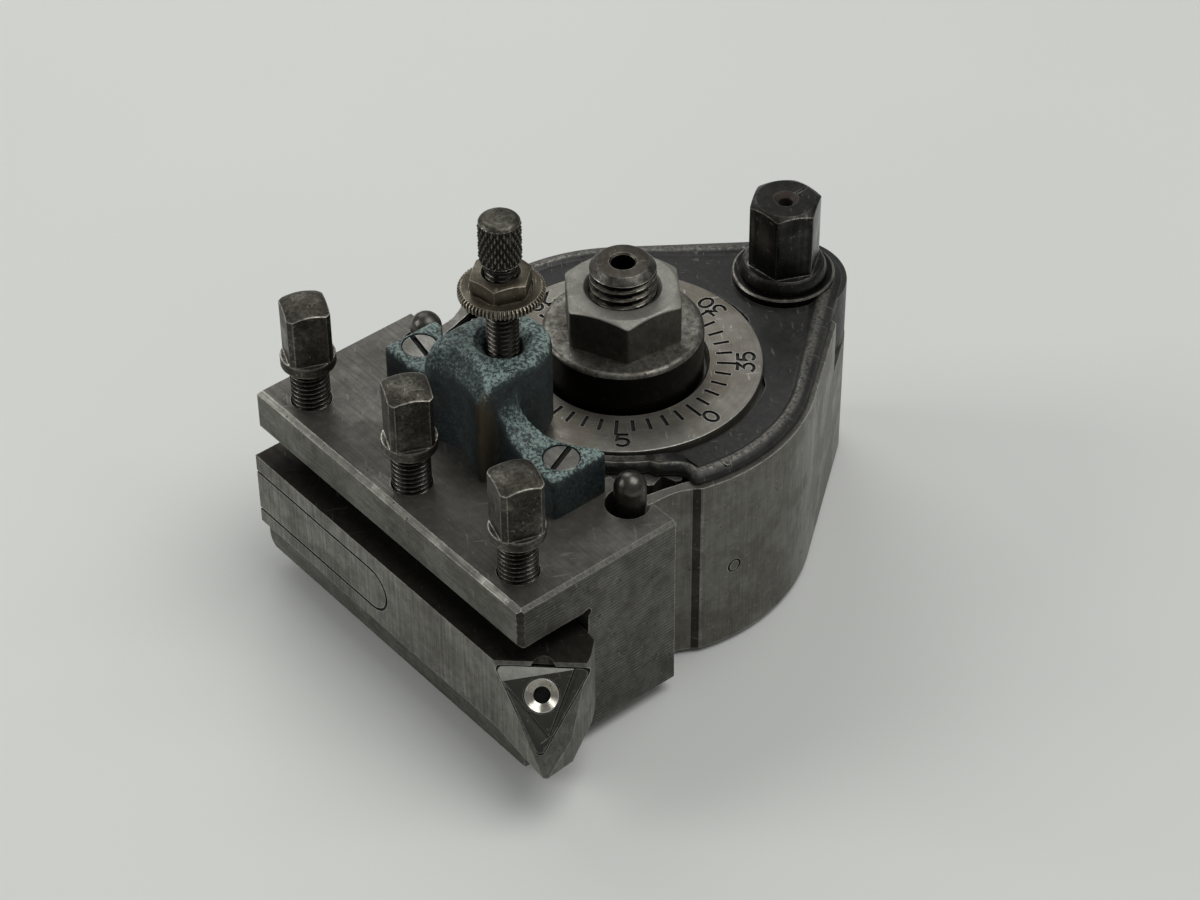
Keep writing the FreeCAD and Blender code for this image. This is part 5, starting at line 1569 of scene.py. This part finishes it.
        combine(item, soften(nose.piece("nose"), 1.0, 3, 50.0), Join.ADD)
        hollow = self.nose_hollow
        profile = [(hollow, 0.0), (hollow, self.bracket_top - 5.0), (14.8, self.bracket_top + 2.0)]
        front = Draft().turned(profile, (0.0, self.screw_y), 96)
        combine(item, front.piece("hollow"))
        cast = item.modifiers.new("cast", "REMESH")
        cast.mode = "VOXEL"
        cast.voxel_size = 0.32
        even = item.modifiers.new("even", "SMOOTH")
        even.factor = 0.5
        even.iterations = 26
        settle(item)
        under = Draft().turned([(30.0, 0.0), (30.0, base + 4.0)], steps=160)
        combine(item, under.piece("undercut"))
        top = self.bracket_top
        funnel = [(3.0, base - 2.0), (3.0, top - 2.4), (4.0, top - 1.2), (4.9, top - 0.3), (7.0, top + 2.0)]
        drill = Draft().turned(funnel, (0.0, self.bracket_y), 64)
        combine(item, drill.piece("drill"))
        for side in (1.0, -1.0):
            centre = (side * self.foot[0], self.foot[1])
            foot = self.foot_top
            cone = [(2.05, base - 2.0), (2.05, foot - 2.5), (3.35, foot - 0.5), (3.4, foot + 1.0)]
            seat = Draft().turned(cone, centre, 48)
            combine(item, seat.piece("seat"))
        plane = Draft().block((-80.0, -80.0, base - 10.0), (80.0, 0.0, base))
        combine(item, plane.piece("foot_plane"))
        self.coat(item, "speckled_enamel")
        self.hand_over(item, "bracket_enamel", "height_bracket", sharp=60.0)

    def foot_screw(self, name: str, side: float, turn: float) -> None:
        """A slotted countersunk screw.

        Args:
            name: Which foot.
            side: 1 for the right foot and -1 for the left.
            turn: The slot's angle in degrees.
        """
        centre = (side * self.foot[0], self.foot[1])
        top = self.foot_top - 0.1
        profile = [(2.0, self.top - 6.0), (2.0, top - 2.2), (3.15, top - 0.35), (3.2, top - 0.12),
                   (3.05, top)]
        item = Draft().turned(profile, centre, 64).piece("foot_screw_" + name)
        slot = Draft().block((-10.0, -0.55, top - 0.8), (10.0, 0.55, top + 3.0))
        slot.moved(Matrix.Translation((*centre, 0.0)) @ Matrix.Rotation(math.radians(turn), 4, "Z"))
        self.coat(item, "slotted_grey")
        # The slot's walls and floor take the near-black ink finish: painted shade in the slot.
        combine(item, self.coat(slot.piece("slot"), "ink"))
        self.hand_over(item, "pin_steel", "bracket_screw_" + name)


@dataclass
class ClampScrew(Assembly):
    """One square-headed screw over the tool."""

    side: str = "middle"
    x: float = 0.0
    corner: float = 0.0
    y: float = -48.2
    tip: float = 27.7
    collar: float = 49.0
    head: float = 51.2
    top: float = 62.5

    def build(self) -> None:
        """The point, the thread, the collar and the square head with its rounded corners."""
        centre = (self.x, self.y)
        steps = 96
        ring = partial(circle, steps=steps, centre=centre, start=self.corner)
        rings = [ring(2.4, self.tip), ring(2.6, self.tip + 0.2), ring(2.6, self.tip + 2.0)]
        thread = Thread(3.55, 0.62, 1.0, self.tip + 2.2, self.collar - 0.9, (0.0, 0.0), 0.6)
        for row in thread.rings(steps, 8):
            spin = math.radians(self.corner)
            rings.append([(self.x + x * math.cos(spin) - y * math.sin(spin),
                           self.y + x * math.sin(spin) + y * math.cos(spin), z) for x, y, z in row])
        rings += [ring(3.3, self.collar - 0.8), ring(3.9, self.collar - 0.2), ring(4.8, self.collar + 0.05),
                  ring(5.0, self.collar + 0.3), ring(5.0, self.head - 0.2), ring(4.9, self.head)]
        bar = Bar(4, 7.9, self.corner, self.head + 0.05, self.top - 0.15, 3.3, 0.5, centre, 90.0, 0.15, 5.0)
        rings += bar.rings(steps)
        item = Draft().loft(rings).piece("clamp_screw_" + self.side + "_piece")
        self.coat(item, "screw_brown", "thread_black", "screw_side")
        for face in item.data.polygons:
            low = face.center.z < self.collar
            upright = abs(face.normal.z) < 0.5 and face.center.z < self.top - 1.2
            face.material_index = 1 if low else 2 if upright else 0
        self.hand_over(item, "screw_steel", "clamp_screw_" + self.side, sharp=24.0)


@dataclass
class HeightScrew(Assembly):
    """The knurled screw that sets the holder's height."""

    centre: Flat = (0.0, -27.2)
    radius: float = 2.9
    tip: float = 42.4
    knob_bottom: float = 78.9
    knob_top: float = 87.3
    knob_radius: float = 3.85
    crown: float = 0.6

    def build(self) -> None:
        """The threaded rod and its diamond-knurled knob."""
        steps = 210
        ring = partial(circle, steps=steps, centre=self.centre)
        rings = [ring(2.3, self.tip), ring(self.radius, self.tip + 0.6)]
        thread = Thread(self.radius, 0.5, 1.0, self.tip + 0.7, self.knob_bottom - 0.8, self.centre, 0.6)
        rings += thread.rings(steps, 6)
        rings += [ring(2.6, self.knob_bottom - 0.5), ring(2.6, self.knob_bottom),
                  ring(self.knob_radius - 0.55, self.knob_bottom),
                  ring(self.knob_radius - 0.25, self.knob_bottom + 0.3)]
        rows = 60
        for row in range(rows + 1):
            level = self.knob_bottom + 0.4 + (self.knob_top - self.knob_bottom - 0.7) * row / rows
            sizes = [self.knurled(step / steps, level) for step in range(steps)]
            rings.append([(*polar(size, 360.0 * step / steps, self.centre), level)
                          for step, size in enumerate(sizes)])
        high = self.knob_top + self.crown
        rings += [ring(self.knob_radius - 0.25, self.knob_top - 0.15),
                  ring(self.knob_radius - 0.4, self.knob_top + 0.1),
                  ring(self.knob_radius - 0.9, high - 0.1), ring(self.knob_radius - 1.3, high)]
        item = Draft().loft(rings).piece("height_screw_piece")
        self.coat(item, "thread_black", "knurl_dark", "screw_brown")
        # Knurl faces below the ridge tops take the dark thread finish: painted shade in the knurl's valleys.
        for face in item.data.polygons:
            level = face.center.z
            crown = level > self.knob_top - 0.1
            away = math.hypot(face.center.x, face.center.y - self.centre[1])
            raised = level > self.knob_bottom - 0.1 and away > self.knob_radius - 0.28
            face.material_index = 2 if crown else 1 if raised else 0
        self.hand_over(item, "screw_steel", "height_screw", sharp=70.0)

    def knurled(self, part: float, level: float) -> float:
        """The knob's radius at a point of its side.

        Args:
            part: Share of a full turn.
            level: The height.

        Returns:
            The radius.
        """
        count, height = 21.0, 2.1
        rise = (level - self.knob_bottom) / height
        ridges = []
        for sign in (1.0, -1.0):
            phase = (part * count + sign * rise) % 1.0
            ridges.append(abs(2.0 * phase - 1.0))
        return self.knob_radius - 0.5 * (1.0 - min(ridges))


@dataclass
class LockNut(Assembly):
    """The notched nut that locks the height screw."""

    centre: Flat = (0.0, -27.2)
    bottom: float = 71.4
    flange_radius: float = 7.6
    flange: float = 1.9
    hexagon: float = 3.1
    notches: int = 64

    def build(self) -> None:
        """The flange with its notched rim and the low hexagon on top."""
        steps = self.notches * 4
        top = self.bottom + self.flange

        def ring(size: float, level: float, cut: float = 0.0) -> list[Point]:
            """A ring of the flange, every other pair of points drawn in by the notches."""
            sizes = [size - cut if step % 4 in (1, 2) else size for step in range(steps)]
            return [(*polar(notched, 360.0 * step / steps, self.centre), level)
                    for step, notched in enumerate(sizes)]

        bore = 2.95
        rings = [ring(bore, self.bottom), ring(self.flange_radius - 0.55, self.bottom, 0.2),
                 ring(self.flange_radius, self.bottom + 0.4, 0.5), ring(self.flange_radius, top - 0.4, 0.5),
                 ring(self.flange_radius - 0.5, top, 0.15), ring(self.flange_radius - 0.9, top),
                 ring(5.5, top), ring(5.3, top - 0.25), ring(bore, top - 0.25)]
        item = Draft().loft(rings, closed=True).piece("lock_nut_piece")
        turn = 9.0
        bar = Bar(6, 9.8, turn, top - 0.3, top + self.hexagon, 4.75, 0.5, self.centre)
        sides = 96
        rows = bar.rings(sides)[:3]
        for size, level in ((bore + 0.5, top + self.hexagon), (bore, top + self.hexagon - 0.5),
                            (bore, top - 0.3)):
            rows.append(circle(size, level, sides, self.centre, turn))
        combine(item, Draft().loft(rows, closed=True).piece("lock_hexagon"), Join.ADD)
        self.coat(item, "nut_warm")
        self.hand_over(item, "lock_steel", "lock_nut")


@dataclass
class TurningTool(Assembly):
    """The square-shank tool with its triangular insert."""

    bottom: float = 11.6
    top: float = 27.6
    left: float = -36.0
    front: float = -57.0
    back: float = -40.3
    rake_turn: float = 46.8
    rake_tilt: float = 53.0
    seat: Point = (41.6, -53.5, 23.4)
    side: float = 16.5
    thickness: float = 3.2
    proud: float = 0.6
    long_corner: float = 1.2

    def build(self) -> None:
        """Make the shank, the insert and its screw."""
        self.shank()
        self.insert()
        self.insert_pin()
        self.dress("insert_shim", "shank_dark")

    def rake(self) -> Matrix:
        """The placement of the insert's face: z out of the face, one corner down the slope."""
        spin = Matrix.Rotation(math.radians(self.rake_turn), 4, "Z")
        lean = Matrix.Rotation(math.radians(self.rake_tilt), 4, "X")
        return Matrix.Translation(self.seat) @ spin @ lean

    def triangle(self, side: float, nose: float) -> list[Flat]:
        """A rounded triangle with one corner towards -Y.

        Args:
            side: The sharp triangle's side.
            nose: The corners' radius.

        Returns:
            The outline, anticlockwise.
        """
        reach = side / math.sqrt(3.0) - 2.0 * nose
        outline = []
        for turn, longer in ((-90.0, self.long_corner), (30.0, 0.0), (150.0, 0.0)):
            outline += arc(nose, turn - 60.0, turn + 60.0, 8, polar(reach + longer, turn))
        return outline

    def shank(self) -> None:
        """The shank: a ground bar, its slanted head and the pocket for the insert."""
        outline = [(self.left, self.front), (33.0, self.front), (48.2, -58.7), (48.5, -58.3), (48.1, -52.2),
                   (43.0, -43.7), (40.4, -40.7), (37.2, self.back), (self.left, self.back)]
        item = Draft().prism(outline, self.bottom, self.top).piece("shank")
        self.coat(item, "shank_side", "shank_dark")
        face = self.rake() @ Matrix.Translation((0.0, 0.0, -self.proud))
        combine(item, Draft().block((-30.0, -40.0, 0.0), (30.0, 40.0, 30.0)).moved(face).piece("rake_face"))
        deep = self.rake() @ Matrix.Translation((0.0, 0.0, -self.thickness - 3.0))
        pocket = Draft().prism(self.triangle(self.side + 0.6, 0.8), 0.0, 12.0).moved(deep)
        combine(item, pocket.piece("pocket"))
        notch = self.rake() @ Matrix.Translation((0.1, 4.3, -self.proud - 2.5))
        combine(item, Draft().turned([(2.2, 0.0), (2.2, 12.0)], steps=40).moved(notch).piece("notch"))
        soften(item, 0.3, 2, 30.0)
        self.engrave(item)
        for polygon in item.data.polygons:
            if polygon.material_index < 2:
                polygon.material_index = 1 if polygon.normal.z > 0.7 else 0
        self.hand_over(item, "tool_steel", "tool_shank")

    def engrave(self, item: bpy.types.Object) -> None:
        """Cut the empty outline on the front face: two long lines closed by a round end.

        Args:
            item: The shank.
        """
        low, high, end = 14.75, 23.8, -2.0
        radius = (high - low) / 2.0
        middle = (low + high) / 2.0
        path = [(self.left - 1.0, low), *arc(radius, -90.0, 90.0, 20, (end, middle)), (self.left - 1.0, high)]
        groove = Draft().sweep(path, 0.52, -0.3, 1.0)
        groove.moved(Matrix.Translation((0.0, self.front, 0.0)) @ Matrix.Rotation(math.radians(90.0), 4, "X"))
        item.data.materials.append(self.rack.get("ink"))
        cutter = groove.piece("outline_groove")
        cutter.data.materials.append(self.rack.get("ink"))
        combine(item, cutter)

    def insert(self) -> None:
        """The insert: a flat inner triangle turned in its outline, with a groove along each side."""
        item = Draft().prism(self.triangle(self.side, 0.8), -self.thickness, 0.0).piece("insert")
        self.coat(item, "carbide_grey", "insert_ramp_highlight")
        inner = 3.5
        ramp = [(inner, 0.0), (inner + 6.0, -2.3), (inner + 6.0, 2.0), (inner, 2.0)]
        groove = [(inner, 0.0), (inner + 0.3, -0.45), (inner + 0.6, -0.5), (inner + 2.0, 0.0),
                  (inner + 2.0, 1.0), (inner, 1.0)]
        # Only the first ramp takes the near-white finish, a painted highlight; the other two grooves, cut
        # alike, stay carbide grey.
        for turn, section, start, end, finish in ((11.0, ramp, -12.0, 12.0, "insert_ramp_highlight"),
                                                  (131.0, groove, -6.3, 5.9, "carbide_grey"),
                                                  (251.0, groove, -9.0, 6.0, "carbide_grey")):
            cutter = Draft().loft([[(x, y, z) for y, z in section] for x in (start, end)])
            cutter.moved(Matrix.Rotation(math.radians(turn), 4, "Z"))
            combine(item, self.coat(cutter.piece("chip_groove"), finish))
        hole = Draft().turned([(2.3, -5.0), (2.3, -0.9), (3.15, -0.02), (3.2, 1.0)], steps=64)
        combine(item, hole.piece("insert_hole"))
        soften(item, 0.14, 2, 25.0)
        item.data.transform(self.rake())
        self.hand_over(item, "carbide", "cutting_insert")

    def insert_pin(self) -> None:
        """The bright round-headed pin through the insert."""
        profile = [(1.7, -8.8), (1.7, -3.4), (2.25, -3.3), (2.25, -1.05), (3.0, -0.2), (2.98, -0.05),
                   (2.85, 0.0), (1.65, -0.75), (1.5, -0.85), (1.45, -2.4)]
        item = Draft().turned(profile, steps=64).piece("insert_pin")
        self.coat(item, "bright_pin", "ink")
        # The socket's walls and floor take the near-black ink finish: painted shade inside the socket.
        for face in item.data.polygons:
            across = math.hypot(face.center.x, face.center.y)
            face.material_index = 1 if across < 1.5 and -2.5 < face.center.z < -0.8 else 0
        item.data.transform(self.rake())
        self.hand_over(item, "bright_steel", "insert_screw", sharp=50.0)


@dataclass(frozen=True)
class Studio:
    """The pale floor, the soft lamps and the camera."""

    floor_tone: Colour = (219, 220, 216)
    sky: Colour = (150, 152, 152)
    sky_strength: float = 0.72
    lens: float = 100.1
    yaw: float = 50.25
    pitch: float = 41.47
    roll: float = -0.48
    eye: Point = (352.64, -298.89, 428.87)
    lamps: tuple[tuple[str, Point, float, float], ...] = (
        ("overhead", (300.0, 280.0, 1000.0), 800.0, 5.9),
        ("window", (-700.0, 220.0, 620.0), 620.0, 2.0),
        ("front", (-520.0, -640.0, 480.0), 420.0, 2.4),
    )

    def build(self) -> None:
        """Set up the floor, the world, the lamps and the camera."""
        self.floor()
        self.world()
        for name, place, size, power in self.lamps:
            self.lamp(name, place, size, power)
        self.camera()
        bpy.context.scene.view_settings.view_transform = "Standard"

    def floor(self) -> None:
        """A wide plain floor that keeps the object's shadow."""
        reach = 6000.0
        item = Draft().block((-reach, -reach, -20.0), (reach, reach, 0.0)).piece("floor")
        item.data.transform(Matrix.Scale(MM, 4))
        material = bpy.data.materials.new("pale_floor")
        material.use_nodes = True
        wiring = Wiring(material.node_tree)
        shader = wiring.node("ShaderNodeBsdfPrincipled")
        place = wiring.node("ShaderNodeTexCoord").outputs["Object"]
        pale = tone(self.floor_tone)
        cloud = wiring.noise(place, 4.0, 3.0, 0.5)
        soft = tuple(part * 0.96 for part in pale[:3]) + (1.0,)
        wiring.feed(shader.inputs["Base Color"], wiring.mix(wiring.band(cloud, 0.3, 0.7), soft, pale))
        shader.inputs["Roughness"].default_value = 0.85
        out = wiring.node("ShaderNodeOutputMaterial")
        wiring.feed(out.inputs["Surface"], shader.outputs[0])
        item.data.materials.append(material)

    def world(self) -> None:
        """Even light from all round."""
        world = bpy.data.worlds.new("studio")
        world.use_nodes = True
        wiring = Wiring(world.node_tree)
        light = wiring.node("ShaderNodeBackground")
        light.inputs["Color"].default_value = tone(self.sky)
        light.inputs["Strength"].default_value = self.sky_strength
        out = wiring.node("ShaderNodeOutputWorld")
        wiring.feed(out.inputs["Surface"], light.outputs[0])
        bpy.context.scene.world = world

    def lamp(self, name: str, place: Point, size: float, power: float) -> None:
        """A square soft lamp that faces the object.

        Args:
            name: The lamp's name.
            place: Where it hangs, in millimetres.
            size: Its side, in millimetres.
            power: Its power in watts.
        """
        data = bpy.data.lights.new(name, "AREA")
        data.size = size * MM
        data.energy = power
        item = bpy.data.objects.new(name, data)
        spot = Vector(place) * MM
        item.location = spot
        item.rotation_euler = (Vector((0.0, 0.0, 0.03)) - spot).to_track_quat("-Z", "Y").to_euler()
        bpy.context.scene.collection.objects.link(item)

    def camera(self) -> None:
        """The camera at the photograph's viewing angle."""
        yaw, pitch, roll = (math.radians(part) for part in (self.yaw, self.pitch, self.roll))
        forward = Vector((-math.sin(yaw) * math.cos(pitch), math.cos(yaw) * math.cos(pitch),
                          -math.sin(pitch)))
        right = forward.cross(Vector((0.0, 0.0, 1.0))).normalized()
        up = right.cross(forward)
        across = right * math.cos(roll) + up * math.sin(roll)
        rise = up * math.cos(roll) - right * math.sin(roll)
        data = bpy.data.cameras.new("camera")
        data.lens = self.lens
        data.sensor_width = 36.0
        data.clip_start = 0.01
        item = bpy.data.objects.new("camera", data)
        frame = Matrix((across, rise, -forward)).transposed().to_4x4()
        frame.translation = Vector(self.eye) * MM
        item.matrix_world = frame
        bpy.context.scene.collection.objects.link(item)
        bpy.context.scene.camera = item


def main() -> None:
    """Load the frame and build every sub-assembly in order."""
    logging.basicConfig(level=logging.INFO, format="%(name)s: %(message)s")
    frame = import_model()
    rack = Rack()
    rack.fill()
    nodes = frame["nodes"]
    assemblies = (
        CorePost(rack, nodes, "core"),
        Clamp(rack, nodes, "clamp"),
        Eccentric(rack, nodes, "eccentric"),
        Holder(rack, nodes, "holder"),
        ClampScrew(rack, nodes, "screw_left", side="left", x=-29.4, corner=22.0),
        ClampScrew(rack, nodes, "screw_middle", side="middle", x=0.0, corner=20.0),
        ClampScrew(rack, nodes, "screw_right", side="right", x=29.4, corner=27.0),
        HeightScrew(rack, nodes, "height_screw"),
        LockNut(rack, nodes, "lock_nut"),
        TurningTool(rack, nodes, "tool"),
    )
    for assembly in assemblies:
        assembly.build()
        log.info("%s is built", type(assembly).__name__)
    Studio().build()


if __name__ == "__main__":
    main()
